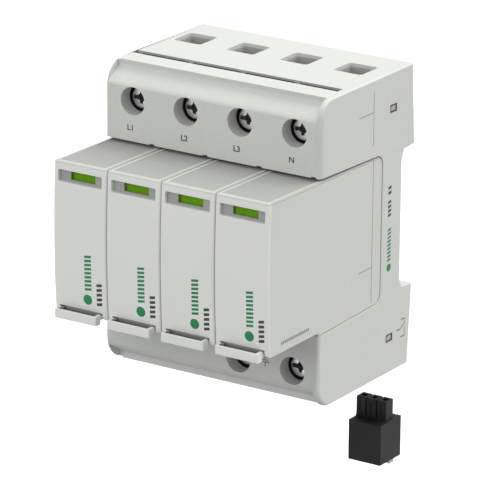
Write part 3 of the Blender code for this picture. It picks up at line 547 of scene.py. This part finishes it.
def side_cover(name, inner, outer, node):
    """Side plate with two snap windows; the left one takes in the hollow curves and the top slot."""
    cover = cover_plate(inner, outer)
    end = 1 if outer > 0 else -1
    windows = []
    tongues = []
    tongue_y = (SNAP_Y[0] + 0.6 * MM, SNAP_Y[1] - 0.6 * MM)
    for side in (1, -1):
        window_z = (side * SNAP_Z[0], side * SNAP_Z[1])
        tongue_z = (side * (SNAP_Z[0] + 0.5 * MM), side * (SNAP_Z[1] - 0.5 * MM))
        windows.append(box((outer - end * 1.4 * MM, outer + end * MM), SNAP_Y, window_z))
        tongues.append(box((outer - end * 1.6 * MM, outer - end * TONGUE_DEPTH), tongue_y, tongue_z))
    if outer < 0:
        windows += cove_tools(outer + CREST_WIDTH)
    cut(cover, *windows)
    join(cover, *tongues)
    cover.data.shade_smooth()
    cover.data.set_sharp_from_angle(angle=math.radians(40))
    add_weighted_normals(cover)

    def in_snap_window(point):
        along = SNAP_Y[0] - SEAM < point.y < SNAP_Y[1] + SEAM
        up = SNAP_Z[0] - SEAM < abs(point.z) < SNAP_Z[1] + SEAM
        return along and up and abs(point.x) > abs(outer) - 1.7 * MM

    def on_tongue(point):
        return in_snap_window(point) and abs(abs(point.x) - abs(outer) + TONGUE_DEPTH) < 0.01 * MM

    place(cover, name, "base", "housing_plastic", LOOK["housing"], node)
    # Painted shade: dark grey in the snap window rings, mid grey on their tongues and in the top slot of
    # the left cover.
    paint(cover, LOOK["shade"], in_snap_window)
    paint(cover, LOOK["housing_painted_shade"], on_tongue)
    paint(cover, LOOK["housing_painted_shade"], in_slot)
    return cover


def terminal_tools(x, side):
    """Cutters of one terminal: bore, its seat and neck, chamber, wire entry and its step."""
    entry_x = x + ENTRY_SHIFT_X
    entry = rectangle(around(entry_x, ENTRY_HALF_WIDTH), ENTRY_Y, 0.9 * MM, 4)
    step_x = (entry_x - 4.75 * MM, entry_x + 4.5 * MM)
    step = rectangle(step_x, (ENTRY_Y[0] - 0.5 * MM, ENTRY_Y[1] + 0.4 * MM), 0.9 * MM, 4)
    tools = []
    steps = ((-41.25, 4.1, 5.5, 64), (-37.0, 4.0, 3.6, 64), (-35.0, 2.9, 4.0, 32))
    for y, radius, length, segments in steps:
        tools.append(rod((x, y * MM, side * SCREW_Z), radius * MM, length * MM, "Y", segments))
    chamber_z = (side * CHAMBER_Z[0], side * CHAMBER_Z[1])
    tools.append(box(around(x, CHAMBER_HALF_WIDTH), (-33.5 * MM, HOUSING_BACK_Y + 2 * MM), chamber_z))
    tools.append(prism(entry, sorted((side * 40.0 * MM, side * 46.0 * MM)), IN_PLAN))
    tools.append(prism(step, sorted((side * 44.0 * MM, side * 46.0 * MM)), IN_PLAN))
    return tools


def fork_tools(x, side, top):
    """Cutters of a contact fork's pocket and of the slit that its blade passes."""
    pocket = box(around(x, 3.3 * MM), (-9.6 * MM, HOUSING_BACK_Y + 2 * MM), (side * 6.5 * MM, side * top))
    slit = box(around(x, 0.9 * MM), (BAY_BACK_Y - MM, -9.0 * MM), (side * 7.5 * MM, side * 15.5 * MM))
    return [pocket, slit]


def duct_tools():
    """Cutters behind the bay: risers and bar of the earth busbar, space of the signal rocker."""
    depth = (-6.9 * MM, HOUSING_BACK_Y + 2 * MM)
    tools = [box(around(x, 3.3 * MM), depth, (-29.3 * MM, -21.5 * MM)) for x in EARTH_X]
    tools.append(box(around(0.0, 30.3 * MM), depth, (-22.8 * MM, -15.7 * MM)))
    rocker_depth = (-9.4 * MM, HOUSING_BACK_Y + 2 * MM)
    tools.append(box((-31.0 * MM, 33.2 * MM), rocker_depth, around(0.0, 4.0 * MM)))
    return tools


def slot_tools():
    """Cutters of the long slot in the top, its dark cavity between the bridges and the small notches."""
    tools = [box((-HALF_WIDTH - MM, SLOT_END_X), SLOT_Y, (HALF_HEIGHT - SLOT_SHELF, HALF_HEIGHT + MM))]
    ends = [-33.6 * MM] + [x for bridge in BRIDGES_X for x in around(bridge, 0.8 * MM)] + [32.9 * MM]
    for low, high in zip(ends[::2], ends[1::2]):
        tools.append(box((low, high), SLOT_CAVITY_Y, (HALF_HEIGHT - 3.4 * MM, HALF_HEIGHT - SLOT_WALL)))
    notch_z = (BAY_FRONT_Z - MM, BAY_FRONT_Z + 0.35 * MM)
    for x in NOTCHES_X:
        tools.append(box(around(x, 0.85 * MM), (SHOULDER_Y - MM, SHOULDER_Y + 1.2 * MM), notch_z))
    return tools


def housing():
    """Main moulding with both shoulders; it is built too deep and too wide, then cut to size."""
    corners = [(SHOULDER_Y, BAY_FRONT_Z, 0.0)]
    corners += [(y, z, 0.0) for y, z in cove(1)]
    corners += [(HOUSING_BACK_Y + MM, HALF_HEIGHT, 0.0), (HOUSING_BACK_Y + MM, -HALF_HEIGHT, 0.0)]
    corners += [(y, z, 0.0) for y, z in reversed(cove(-1))]
    corners += [
        (SHOULDER_Y, -BAY_FRONT_Z, 0.0),
        (BAY_BACK_Y, -BAY_BACK_Z, BAY_ROUND),
        (BAY_BACK_Y, BAY_BACK_Z, BAY_ROUND),
    ]
    shell = prism(rounded(corners), (-HALF_WIDTH, HALF_WIDTH))
    tools = []
    for x in POLES:
        tools += terminal_tools(x, 1) + fork_tools(x, 1, 29.3 * MM) + fork_tools(x, -1, 17.0 * MM)
    for x in EARTH_X:
        tools += terminal_tools(x, -1)
    cut(shell, *tools, *duct_tools(), *slot_tools())
    soften(shell, 0.16 * MM, 3, 40.0)
    bake(shell)
    trim_sides(shell, COVER_INNER_X - SEAM)
    cut(shell, box(around(0.0, 2 * HALF_WIDTH), (HOUSING_BACK_Y, HOUSING_BACK_Y + 5 * MM),
                   around(0.0, 2 * HALF_HEIGHT)))
    place(shell, "housing_shell", "base", "housing_plastic", LOOK["housing"], "base_housing")
    keep_flat(shell)
    # Painted shade: mid grey on the top slot and wire entry walls, dark grey on the entry steps, near black
    # in the slot cavity and the deep screw bores.
    paint(shell, LOOK["housing_painted_shade"], in_slot, in_entry)
    paint(shell, LOOK["shade"], in_entry_step)
    paint(shell, LOOK["dark"], in_slot_cavity, in_bore_end)
    return shell


def near_entry(point):
    across = min(abs(point.x - x - ENTRY_SHIFT_X) for x in POLES)
    along = ENTRY_Y[0] - 0.6 * MM < point.y < ENTRY_Y[1] + 0.5 * MM
    return along and across < ENTRY_HALF_WIDTH + 0.8 * MM


def in_entry(point):
    return near_entry(point) and abs(point.z) < HALF_HEIGHT - 0.9 * MM


def in_entry_step(point):
    return near_entry(point) and HALF_HEIGHT - 1.3 * MM < abs(point.z) < HALF_HEIGHT - 0.05 * MM


def in_slot(point):
    deep = HALF_HEIGHT - SLOT_SHELF - SEAM < point.z < HALF_HEIGHT + SEAM
    return deep and SLOT_Y[0] - SEAM < point.y < SLOT_Y[1] + 0.01 * MM and point.x < SLOT_END_X + SEAM


def in_slot_cavity(point):
    low_enough = HALF_HEIGHT - 4.0 * MM < point.z < HALF_HEIGHT - SLOT_WALL + 0.2 * MM
    return low_enough and SLOT_CAVITY_Y[0] - SEAM < point.y < SLOT_CAVITY_Y[1] + SEAM


def in_bore_end(point):
    """Deep part of a screw bore and everything of the terminal behind it, in front of the entry."""
    up = CHAMBER_Z[0] - 0.3 * MM < abs(point.z) < CHAMBER_Z[1] + 0.3 * MM
    return up and -38.5 * MM - SEAM < point.y < ENTRY_Y[0] - 0.9 * MM


def rear_shell():
    """Rail side moulding with its relief grooves, the latch's channel and the signal bay."""
    front_y = HOUSING_BACK_Y + SEAM
    outline = [(front_y - MM, HALF_HEIGHT)] + rear_edge() + [(front_y - MM, -HALF_HEIGHT)]
    shell = prism(outline, (-HALF_WIDTH, HALF_WIDTH))
    bottom_z = -46.0 * MM
    bay_x = (22.3 * MM, 33.0 * MM)
    tools = [box(around(0.0, 12.3 * MM), (1.0 * MM, 3.7 * MM), (bottom_z, -RAIL_WALL_Z)),
             box(bay_x, (-0.7 * MM, 3.8 * MM), (bottom_z, -36.5 * MM)),
             box((22.0 * MM, 33.5 * MM), (front_y - 2 * MM, -1.1 * MM), (-37.3 * MM, 4.7 * MM)),
             box(bay_x, (front_y - 2 * MM, -0.4 * MM), (-38.5 * MM, -36.5 * MM))]
    for side in (1, -1):
        groove_z = (side * 15.6 * MM, side * RAIL_WALL_Z)
        tools.append(box(around(0.0, HALF_WIDTH + MM), (-0.4 * MM, MM), groove_z))
    for x in (-30, -25, -20, 20, 25, 30):
        tools.append(box(around(x * MM, 1.9 * MM), (1.6 * MM, WING_LIP_Y + MM), (24.0 * MM, 40.5 * MM)))
    cut(shell, *tools)
    hook_y = (1.5 * MM, 3.6 * MM)
    hooks = [box((end * 8.0 * MM, end * 26.0 * MM), hook_y, (16.0 * MM, 22.0 * MM)) for end in (1, -1)]
    hooks.append(box(around(0.0, 4.7 * MM), (0.7 * MM, 4.0 * MM), (-38.6 * MM, -37.2 * MM)))
    join(shell, *hooks)
    soften(shell, 0.25 * MM, 3, 30.0)
    bake(shell)
    trim_sides(shell, COVER_INNER_X - SEAM)
    cut(shell, box(around(0.0, 2 * HALF_WIDTH), (front_y - 5 * MM, front_y), around(0.0, 2 * HALF_HEIGHT)))
    place(shell, "rear_shell", "base", "housing_plastic", LOOK["housing"], "base_rear")
    keep_flat(shell)
    return shell


# ---------------------------------------------------------------- terminals

def screw(number, x, side, node):
    """Domed terminal screw with a combined slot and cross recess."""
    z = side * SCREW_Z
    low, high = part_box(node)
    front = low.y
    neck = front + 3.0 * MM
    head = rod((x, (front + neck) / 2, z), 3.3 * MM, neck - front, "Y", 64)
    round_edges(head, 0.55 * MM, lambda a, b: abs(a.y - front) < 1e-6 and abs(b.y - front) < 1e-6, 5)
    join(head, rod((x, (neck + high.y) / 2, z), 2.5 * MM, high.y - neck + 0.2 * MM, "Y", 48))
    tools = [box(around(x, 2.75 * MM), (front - MM, front + 1.5 * MM), around(z, 0.62 * MM))]
    for turn in (0, 90):
        wing = box(around(0.0, 0.55 * MM), (-MM, 2.1 * MM), around(0.0, 1.75 * MM))
        wing.matrix_world = Matrix.Translation((x, front, z)) @ Matrix.Rotation(math.radians(turn), 4, "Y")
        tools.append(wing)
    tools.append(rod((x, front + 0.9 * MM, z), 1.25 * MM, 2.2 * MM, "Y", 24, 0.9 * MM))
    cut(head, *tools)
    soften(head, 0.1 * MM, 2, 35.0)
    bake(head)

    def in_recess(point):
        near = math.hypot(point.x - x, point.z - z) < 2.9 * MM
        return near and front + 0.15 * MM < point.y < front + 2.3 * MM

    place(head, f"screw_piece_{number}", node, "plated_steel", LOOK["steel"], node)
    keep_flat(head)
    # Painted shade: the cross and slot recess of the screw head darkened.
    paint(head, LOOK["steel_painted_shade"], in_recess)
    return head


# ---------------------------------------------------------------- cartridges

def bow(z):
    """Y of a cartridge's gently curved front at height z."""
    return CASE_FRONT_Y + BOW_DEPTH * ((z - BOW_CENTRE_Z) / BOW_HALF_HEIGHT) ** 2


def bay_line(y, side):
    """Height of a cartridge's upper or lower side in the bay, which narrows towards the back."""
    part = (y - SHOULDER_Y) / (BAY_BACK_Y - SHOULDER_Y)
    return side * (BAY_FRONT_Z + (BAY_BACK_Z - BAY_FRONT_Z) * part - BAY_GAP)


def top_line(y):
    """Height of a cartridge's slightly sloping top face."""
    part = (y - bow(CASE_TOP_Z)) / (CASE_BACK_Y - bow(CASE_TOP_Z))
    return CASE_TOP_Z + (bay_line(CASE_BACK_Y, 1) - CASE_TOP_Z) * part


def case_block(x):
    """Solid outer shape of a cartridge, with its front and long edges rounded."""
    steps = 24
    outline = []
    for step in range(steps + 1):
        z = CHIN_Z + (CASE_TOP_Z - CHIN_Z) * step / steps
        outline.append((bow(z), z))
    for side in (1, -1):
        outline.append((CASE_BACK_Y + MM, bay_line(CASE_BACK_Y, side)))
    outline += [(SHOULDER_Y, bay_line(SHOULDER_Y, -1)), (SHOULDER_Y, CHIN_Z)]
    case = prism(outline, around(x, CASE_HALF_WIDTH))
    front_y = CASE_FRONT_Y + 1.2 * MM
    ends_z = (CHIN_Z, CASE_TOP_Z)

    def on_front_or_top(a, b):
        at_front = a.y < front_y and b.y < front_y
        along_front = at_front and (abs(a.z - b.z) > 1e-6 or any(abs(a.z - z) < 1e-6 for z in ends_z))
        along_top = abs(a.x - b.x) < 1e-6 and a.z > 20 * MM and b.z > 20 * MM
        return along_front or along_top

    return round_edges(case, 0.7 * MM, on_front_or_top, 5)


def case_tools(x, inner_front):
    """Cutters of a cartridge: inside, window and its opening, tab pocket, textured field on top."""
    front = CASE_FRONT_Y - MM
    back = CASE_BACK_Y + 3 * MM
    hollow = [(inner_front, CHIN_Z + CASE_WALL), (inner_front, CASE_TOP_Z - CASE_WALL),
              (back, bay_line(back, 1) - CASE_WALL), (back, bay_line(back, -1) + CASE_WALL)]
    window = rectangle((x - 7.4 * MM, x + 7.35 * MM), WINDOW_Z, 0.3 * MM, 3)
    field_y = (CASE_FRONT_Y + 1.7 * MM, -30.5 * MM)
    field = [(y, top_line(y) - TOP_RECESS) for y in field_y]
    field += [(y, top_line(y) + MM) for y in reversed(field_y)]
    return [
        prism(hollow, around(x, CASE_HALF_WIDTH - CASE_WALL)),
        prism(window, (-CASE_FRONT_Y - 1.5 * MM, -front), IN_FRONT),
        box((x - 3.8 * MM, x + 4.45 * MM), (front, inner_front + MM), (17.4 * MM, 20.0 * MM)),
        box(around(x, 7.3 * MM), (front, -44.2 * MM), (-24.0 * MM, -19.8 * MM)),
        prism(field, around(x, CASE_HALF_WIDTH - 1.15 * MM)),
    ]


def cartridge_shell(number, x):
    """Case of a cartridge: bowed front with a window, rims along the sides and a textured top."""
    case = case_block(x)
    inner_front = CASE_FRONT_Y + 2.2 * MM
    cut(case, *case_tools(x, inner_front))
    soften(case, 0.1 * MM, 2, 50.0)
    bake(case)
    cut(case, box(around(x, 2 * CASE_HALF_WIDTH), (CASE_BACK_Y + BAY_GAP - SEAM, -9.0 * MM),
                  around(0.0, HALF_HEIGHT)))
    place(case, f"cartridge_shell_{number}", f"cartridge_{number}", "cartridge_plastic", LOOK["cartridge"],
          f"cartridge_case_{number}")
    keep_flat(case)

    def on_side(point):
        return abs(point.x - x) > CASE_HALF_WIDTH - 0.01 * MM

    def on_rim(point):
        return point.z > 20 * MM and point.z > top_line(point.y) - 0.78 * MM

    def in_side_groove(point):
        beside = abs(point.x - x) > CASE_HALF_WIDTH - 0.73 * MM
        return on_rim(point) and beside and point.y > CASE_FRONT_Y + MM

    def in_top_recess(point):
        return abs(point.z - top_line(point.y) + TOP_RECESS) < 0.06 * MM and point.y < -30.0 * MM

    def in_window(point):
        inside = WINDOW_Z[0] - 0.1 * MM < point.z < WINDOW_Z[1] + 0.1 * MM and abs(point.x - x) < 7.5 * MM
        return inside and CASE_FRONT_Y + 0.75 * MM < point.y < inner_front + 0.1 * MM

    paint(case, LOOK["housing"], on_side, on_rim)
    # Painted shade: the rounded top side edges darkened, giving the shade of the gap between two
    # cartridges.
    paint(case, LOOK["housing_painted_shade"], in_side_groove)
    paint(case, LOOK["textured"], in_top_recess)
    paint(case, LOOK["window"], in_window)
    return case


def latch_tab(number):
    """Finger tab with a scooped top, on the flexing arm under the cartridge."""
    node = f"release_latch_{number}"
    low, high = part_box(node)
    arm_z = high.z - 1.1 * MM
    arm_end_y = -44.5 * MM
    lip_y = TAB_BACK_Y + 0.1 * MM
    lip_z = high.z + LIP_RISE
    outline = [(low.y, low.z, 0.35 * MM), (low.y, lip_z, 0.35 * MM), (lip_y, lip_z, 0.0),
               (lip_y, high.z, 0.0), (arm_end_y, high.z, 0.0), (arm_end_y, arm_z, 0.0),
               (TAB_BACK_Y, arm_z, 0.0), (TAB_BACK_Y, low.z, 0.3 * MM)]
    groove_x = (low.x + 0.7 * MM, high.x - 1.0 * MM)
    groove_y = (low.y + 0.55 * MM, -67.0 * MM)
    tab = prism(rounded(outline, 4), (low.x, high.x))
    cut(tab, box(groove_x, groove_y, (high.z - 0.7 * MM, high.z + MM)))
    soften(tab, 0.15 * MM, 3, 35.0)
    bake(tab)

    def in_groove(point):
        inside = groove_x[0] - SEAM < point.x < groove_x[1] + SEAM
        return inside and groove_y[0] - SEAM < point.y < groove_y[1] and point.z < lip_z - 0.1 * MM

    place(tab, f"latch_tab_{number}", node, "cartridge_plastic", LOOK["cartridge"], node)
    keep_flat(tab)
    # Painted shade: the groove of the tab darkened.
    paint(tab, LOOK["shade"], in_groove)
    return tab


def flag(number, x):
    """Green flag behind the window, with the stem that it hangs on."""
    node = f"status_flag_{number}"
    low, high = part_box(node)
    plate = box((low.x, high.x), (low.y, high.y), (16.9 * MM, high.z))
    join(plate, box(around(x, 1.2 * MM), (low.y, high.y), (low.z, 17.5 * MM)))
    soften(plate, 0.15 * MM, 2)
    return place(plate, f"flag_piece_{number}", node, "flag_plastic", LOOK["flag"], node)


def fault_plate(number, x):
    """Red plate fixed behind the green flag; it shows when the flag has dropped."""
    span_x = around(x, 4.6 * MM)
    span_y = (-65.3 * MM, -64.7 * MM)
    plate = box(span_x, span_y, (16.9 * MM, 20.6 * MM))
    join(plate, box(span_x, (span_y[0], -60.0 * MM), (20.7 * MM, 21.2 * MM)),
         box(span_x, span_y, (20.0 * MM, 21.2 * MM)))
    soften(plate, 0.1 * MM, 2)
    return place(plate, f"fault_plate_{number}", f"cartridge_{number}", "flag_plastic", LOOK["fault"])


# ---------------------------------------------------------------- printed marks

def label(text, height, x, z, name):
    """Terminal mark printed on the front of a shoulder."""
    curve = bpy.data.curves.new(name, "FONT")
    curve.body = text
    curve.size = height * 1.37
    curve.extrude = PRINT_DEPTH
    curve.offset = 0.05 * MM
    curve.align_x = "CENTER"
    curve.align_y = "CENTER"
    guide = new_object(name, curve)
    bpy.context.view_layer.update()
    mesh = bpy.data.meshes.new_from_object(guide.evaluated_get(bpy.context.evaluated_depsgraph_get()))
    bpy.data.objects.remove(guide, do_unlink=True)
    y = SHOULDER_Y - INK_THICKNESS + PRINT_DEPTH
    mesh.transform(Matrix.Translation((x, y, z)) @ Matrix.Rotation(math.pi / 2, 4, "X"))
    return place(new_object(name, mesh), name, "base", "black_plastic", LOOK["grey_ink"])


def merged(pieces):
    """One object from several, without joining their surfaces."""
    shape = bmesh.new()
    for piece in pieces:
        shape.from_mesh(piece.data)
        bpy.data.objects.remove(piece, do_unlink=True)
    return mesh_object("marks", shape)


def bars(start, end, low, high, count, slant, fill=0.6):
    """Row of slanted bars from start to end along the print's length, between low and high."""
    step = (end - start) / count
    width = step * fill
    row = []
    for number in range(count):
        base = start + number * step
        row.append([(low, base), (high, base + slant), (high, base + slant + width), (low, base + width)])
    return row


def line(a, b, width):
    """Straight printed stroke between two points, as an outline."""
    direction = (Vector(b) - Vector(a)).normalized()
    side = Vector((-direction.y, direction.x)) * width / 2
    return [tuple(Vector(point) + sign * side) for point, sign in ((a, -1), (b, -1), (b, 1), (a, 1))]


def disc(a, b, radius, steps=28):
    angles = [2 * math.pi * step / steps for step in range(steps)]
    return [(a + radius * math.cos(angle), b + radius * math.sin(angle)) for angle in angles]


def to_metres(outlines):
    """Outlines given in millimetres, in metres."""
    return [[(a * MM, b * MM) for a, b in outline] for outline in outlines]


def front_print(number, x):
    """Generic marks low on a cartridge's bowed front: a green dot and bars, and a black row of bars."""
    green = [disc(2.5, -16.5, 1.5)] + bars(-13.9, -3.0, 1.6, 3.9, 9, 0.35)
    black = bars(-17.8, -10.7, 5.6, 7.4, 5, 0.35)
    for look, outlines in (("green_ink", green), ("ink", black)):
        span = (-CASE_FRONT_Y - PRINT_DEPTH, -CASE_FRONT_Y + INK_THICKNESS)
        pieces = [prism(outline, span, IN_FRONT) for outline in to_metres(outlines)]
        marks = merged(pieces)
        shape = bmesh.new()
        shape.from_mesh(marks.data)
        for height in range(-18, -2):
            everything = shape.verts[:] + shape.edges[:] + shape.faces[:]
            bmesh.ops.bisect_plane(shape, geom=everything, plane_co=(0, 0, height * MM), plane_no=(0, 0, 1))
        for point in shape.verts:
            point.co.x += x
            point.co.y += bow(point.co.z) - CASE_FRONT_Y
        shape.to_mesh(marks.data)
        shape.free()
        place(marks, f"{look}_front_{number}", f"cartridge_{number}", "black_plastic", LOOK[look])


def side_print(name, outlines, face_x, body, look):
    """Marks printed on a right-hand side face at the given X."""
    span = (face_x - PRINT_DEPTH, face_x + INK_THICKNESS)
    pieces = [prism(outline, span) for outline in to_metres(outlines)]
    return place(merged(pieces), name, body, "black_plastic", LOOK[look])


def shoulder_prints():
    """Terminal marks of the upper shoulder and the earth symbol of the lower one."""
    for text, x in (("L1", -27.7), ("L2", -9.5), ("L3", 8.1), ("N", 26.2)):
        label(text, 1.75 * MM, x * MM, 26.9 * MM, f"label_{text}")
    earth_x, bar_z, gap = 18.3, -33.9, 0.6
    earth = [line((earth_x, bar_z - 1.3), (earth_x, bar_z), 0.25)]
    for number, half in enumerate((1.4, 1.0, 0.5)):
        z = bar_z + number * gap
        earth.append(line((earth_x - half, z), (earth_x + half, z), 0.25))
    span = (-SHOULDER_Y - PRINT_DEPTH, -SHOULDER_Y + INK_THICKNESS)
    pieces = [prism(outline, span, IN_FRONT) for outline in to_metres(earth)]
    place(merged(pieces), "earth_symbol", "base", "black_plastic", LOOK["grey_ink"])


def cover_prints():
    """Thin rules, a changeover contact symbol and generic rows of marks on the right cover."""
    face_x = HALF_WIDTH - INK_THICKNESS
    rules = [line((-15.7, 25.9), (-15.7, 41.7), 0.14), line((-23.5, 35.6), (-15.7, 35.6), 0.14)]
    contact = [line((-1.0, -33.4), (0.9, -33.4), 0.3), line((0.9, -33.4), (3.3, -32.2), 0.22),
               line((3.3, -32.2), (3.3, -30.6), 0.22), line((1.4, -30.6), (3.3, -30.6), 0.3),
               line((3.3, -33.4), (3.3, -35.9), 0.22), line((1.4, -35.9), (3.3, -35.9), 0.3)]
    green = [disc(-6.1, -12.8, 1.15)] + bars(-11.0, -0.8, -7.0, -5.2, 9, 0.3)
    black = bars(2.4, 7.6, -7.0, -5.4, 4, 0.3) + bars(9.0, 12.0, -7.0, -5.4, 2, 0.3)
    side_print("cover_rules", rules, face_x, "base", "grey_ink")
    side_print("contact_symbol", contact, face_x, "base", "grey_ink")
    side_print("cover_marks_green", green, face_x, "base", "green_ink")
    side_print("cover_marks_black", black, face_x, "base", "ink")


def case_prints():
    """Thin rules and a row of small marks on the fourth cartridge's right side."""
    face_x = POLES[3] + CASE_HALF_WIDTH
    rules = [line((-15.3, -21.0), (-15.3, 21.4), 0.14), line((-22.4, -10.2), (-15.3, -10.2), 0.14)]
    upright = bars(-62.5, -48.0, 0.0, 0.9, 14, 0.3, 0.45)
    row = [[(along, up - 19.6) for up, along in outline] for outline in upright]
    side_print("case_rules", rules, face_x, "cartridge_4", "grey_ink")
    side_print("case_marks", row, face_x, "cartridge_4", "grey_ink")


def prints():
    shoulder_prints()
    for number, x in enumerate(POLES, 1):
        front_print(number, x)
    cover_prints()
    case_prints()


# ---------------------------------------------------------------- signal plug

def plug():
    """Black signal plug: body, three prongs with contact openings, lever slots and wire holes."""
    low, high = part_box("plug_housing")
    body_top = -62.1 * MM
    places_x = [low.x + 1.55 * MM + number * 3.5 * MM for number in range(3)]
    prong_y = (low.y + 4.1 * MM, low.y + 8.0 * MM)
    prongs = [box(around(x, 1.55 * MM), prong_y, (body_top - MM, high.z)) for x in places_x]
    body = box((low.x, high.x), (low.y, high.y), (low.z, body_top))
    join(body, *prongs)
    tools = []
    for x in places_x:
        contact_y = around(sum(prong_y) / 2, 0.9 * MM)
        groove_y = (prong_y[0] - MM, prong_y[0] + 0.35 * MM)
        tools.append(box(around(x, 0.9 * MM), contact_y, (high.z - 5.4 * MM, high.z + MM)))
        tools.append(box(around(x, 1.25 * MM), (2.8 * MM, 5.8 * MM), (low.z - MM, -66.0 * MM)))
        tools.append(rod((x, -0.6 * MM, low.z + 4.0 * MM), 1.2 * MM, 10.0 * MM, "Z", 32))
        tools.append(box(around(x, 0.5 * MM), groove_y, (body_top + MM, high.z - 1.2 * MM)))
    cut(body, *tools)
    soften(body, 0.18 * MM, 3, 35.0)
    return place(body, "plug_body", "signal_plug", "black_plastic", LOOK["black"], "plug_housing")


# ---------------------------------------------------------------- carried CAD nodes

def carry(node, look, width):
    """Keeps a CAD node's shape, with softened edges and its own material."""
    thing = NODES[node]
    weld = thing.modifiers.new("weld", "WELD")
    weld.merge_threshold = 0.00001
    clean = thing.modifiers.new("clean", "DECIMATE")
    clean.decimate_type = "DISSOLVE"
    clean.angle_limit = math.radians(0.5)
    soften(thing, width, 2, 30.0)
    thing.data.materials.clear()
    thing.data.materials.append(LOOK[look])


def carried_nodes():
    """Parts inside the object and small ones that look as they are modelled in the CAD."""
    for pole in (1, 2, 3, 4):
        carry(f"line_clamp_{pole}", "steel", 0.15 * MM)
        carry(f"line_contact_{pole}", "copper", 0.12 * MM)
        carry(f"cartridge_rear_{pole}", "housing", 0.02 * MM)
        carry(f"varistor_{pole}", "coating", 0.5 * MM)
        carry(f"line_blade_{pole}", "copper", 0.12 * MM)
        carry(f"earth_blade_{pole}", "copper", 0.12 * MM)
    for number in (1, 2):
        carry(f"earth_clamp_{number}", "steel", 0.15 * MM)
    for number in (1, 2, 3):
        carry(f"plug_lever_{number}", "lever", 0.15 * MM)
    carry("earth_busbar", "copper", 0.12 * MM)
    carry("rail_latch", "black", 0.2 * MM)
    carry("rail_latch_spring", "steel", 0.03 * MM)
    carry("signal_rocker", "black", 0.15 * MM)
    carry("signal_microswitch", "black", 0.15 * MM)
    carry("signal_socket", "black", 0.1 * MM)
    carry("signal_circuit_board", "board", 0.05 * MM)


# ---------------------------------------------------------------- camera, light and floor

CAMERA_AZIMUTH = math.radians(32.841)
CAMERA_ELEVATION = math.radians(18.493)
CAMERA_ROLL = math.radians(0.582)
CAMERA_DISTANCE = 1272.7 * MM
CAMERA_LENS = 326.08
AIM = Vector((0.0, -43.0 * MM, 0.0))
AIM_RIGHT = 10.753 * MM
AIM_UP = -4.006 * MM
FLOOR_Z = -0.35


def add_camera():
    """Long lens from the front right; the aim point is shifted along the view's own axes."""
    sin_a, cos_a = math.sin(CAMERA_AZIMUTH), math.cos(CAMERA_AZIMUTH)
    sin_e, cos_e = math.sin(CAMERA_ELEVATION), math.cos(CAMERA_ELEVATION)
    back = Vector((sin_a * cos_e, -cos_a * cos_e, sin_e))
    level_right = Vector((cos_a, sin_a, 0.0))
    level_up = back.cross(level_right)
    sin_r, cos_r = math.sin(CAMERA_ROLL), math.cos(CAMERA_ROLL)
    right = level_right * cos_r + level_up * sin_r
    up = level_up * cos_r - level_right * sin_r
    turn = Matrix((right, up, back)).transposed().to_4x4()
    data = bpy.data.cameras.new("camera")
    data.sensor_width = 36.0
    data.lens = CAMERA_LENS
    data.clip_start = 0.05
    data.clip_end = 50.0
    camera = new_object("camera", data)
    position = AIM + right * AIM_RIGHT + up * AIM_UP + back * CAMERA_DISTANCE
    camera.matrix_world = Matrix.Translation(position) @ turn
    bpy.context.scene.camera = camera


def area_light(name, position, target, size, power):
    data = bpy.data.lights.new(name, "AREA")
    data.shape = "SQUARE"
    data.size = size
    data.energy = power
    lamp = new_object(name, data)
    aim = (Vector(target) - Vector(position)).to_track_quat("-Z", "Y")
    lamp.matrix_world = Matrix.Translation(position) @ aim.to_matrix().to_4x4()


def add_lights():
    """Soft dome that dims towards the ground, a broad overhead light, front and side softboxes."""
    world = bpy.data.worlds.new("studio")
    bpy.context.scene.world = world
    world.use_nodes = True
    tree = world.node_tree
    background = tree.nodes["Background"]
    background.inputs["Color"].default_value = (1.0, 1.0, 1.0, 1.0)
    direction = tree.nodes.new("ShaderNodeTexCoord")
    parts = tree.nodes.new("ShaderNodeSeparateXYZ")
    dome = tree.nodes.new("ShaderNodeMapRange")
    dome.inputs["From Min"].default_value = -0.5
    dome.inputs["From Max"].default_value = 0.25
    dome.inputs["To Min"].default_value = 0.26
    dome.inputs["To Max"].default_value = 0.72
    tree.links.new(direction.outputs["Generated"], parts.inputs["Vector"])
    tree.links.new(parts.outputs["Z"], dome.inputs["Value"])
    tree.links.new(dome.outputs["Result"], background.inputs["Strength"])
    data = bpy.data.lights.new("overhead", "SUN")
    data.energy = 2.3
    data.angle = math.radians(60)
    sun = new_object("overhead", data)
    sun.matrix_world = Vector((0.3, 0.45, 0.85)).to_track_quat("Z", "Y").to_matrix().to_4x4()
    area_light("front_softbox", (-0.35, -1.5, 0.65), (0.0, -0.05, 0.0), 0.9, 7.0)
    area_light("side_softbox", (1.7, 0.1, 0.4), (0.0, -0.03, 0.0), 1.0, 4.5)


def add_floor():
    """Pale floor below the object; it casts no light back onto the underside."""
    matrix = Matrix.Translation((0.0, 0.0, FLOOR_Z))
    shape = bmesh.new()
    bmesh.ops.create_grid(shape, x_segments=1, y_segments=1, size=6.0, matrix=matrix)
    floor = mesh_object("floor", shape)
    material, shader = shader_material("pale_floor", 0.9)
    tree = material.node_tree
    tone = blend_colours(tree, noise(tree, 3.0), (0.93, 0.93, 0.93), (0.96, 0.96, 0.96))
    tree.links.new(tone, shader.inputs["Base Color"])
    floor.data.materials.append(material)
    floor.visible_diffuse = False


def build():
    """Makes every piece, then the camera, the lights and the floor."""
    bpy.context.scene.view_settings.view_transform = "Standard"
    housing()
    side_cover("cover_left_piece", -COVER_INNER_X, -HALF_WIDTH, "side_cover_left")
    side_cover("cover_right_piece", COVER_INNER_X, HALF_WIDTH - INK_THICKNESS, "side_cover_right")
    rear_shell()
    for number, x in enumerate(POLES, 1):
        screw(number, x, 1, f"line_screw_{number}")
        cartridge_shell(number, x)
        latch_tab(number)
        flag(number, x)
        fault_plate(number, x)
    for number, x in enumerate(EARTH_X, 1):
        screw(number + 4, x, -1, f"earth_screw_{number}")
    plug()
    prints()
    carried_nodes()
    add_camera()
    add_lights()
    add_floor()


build()
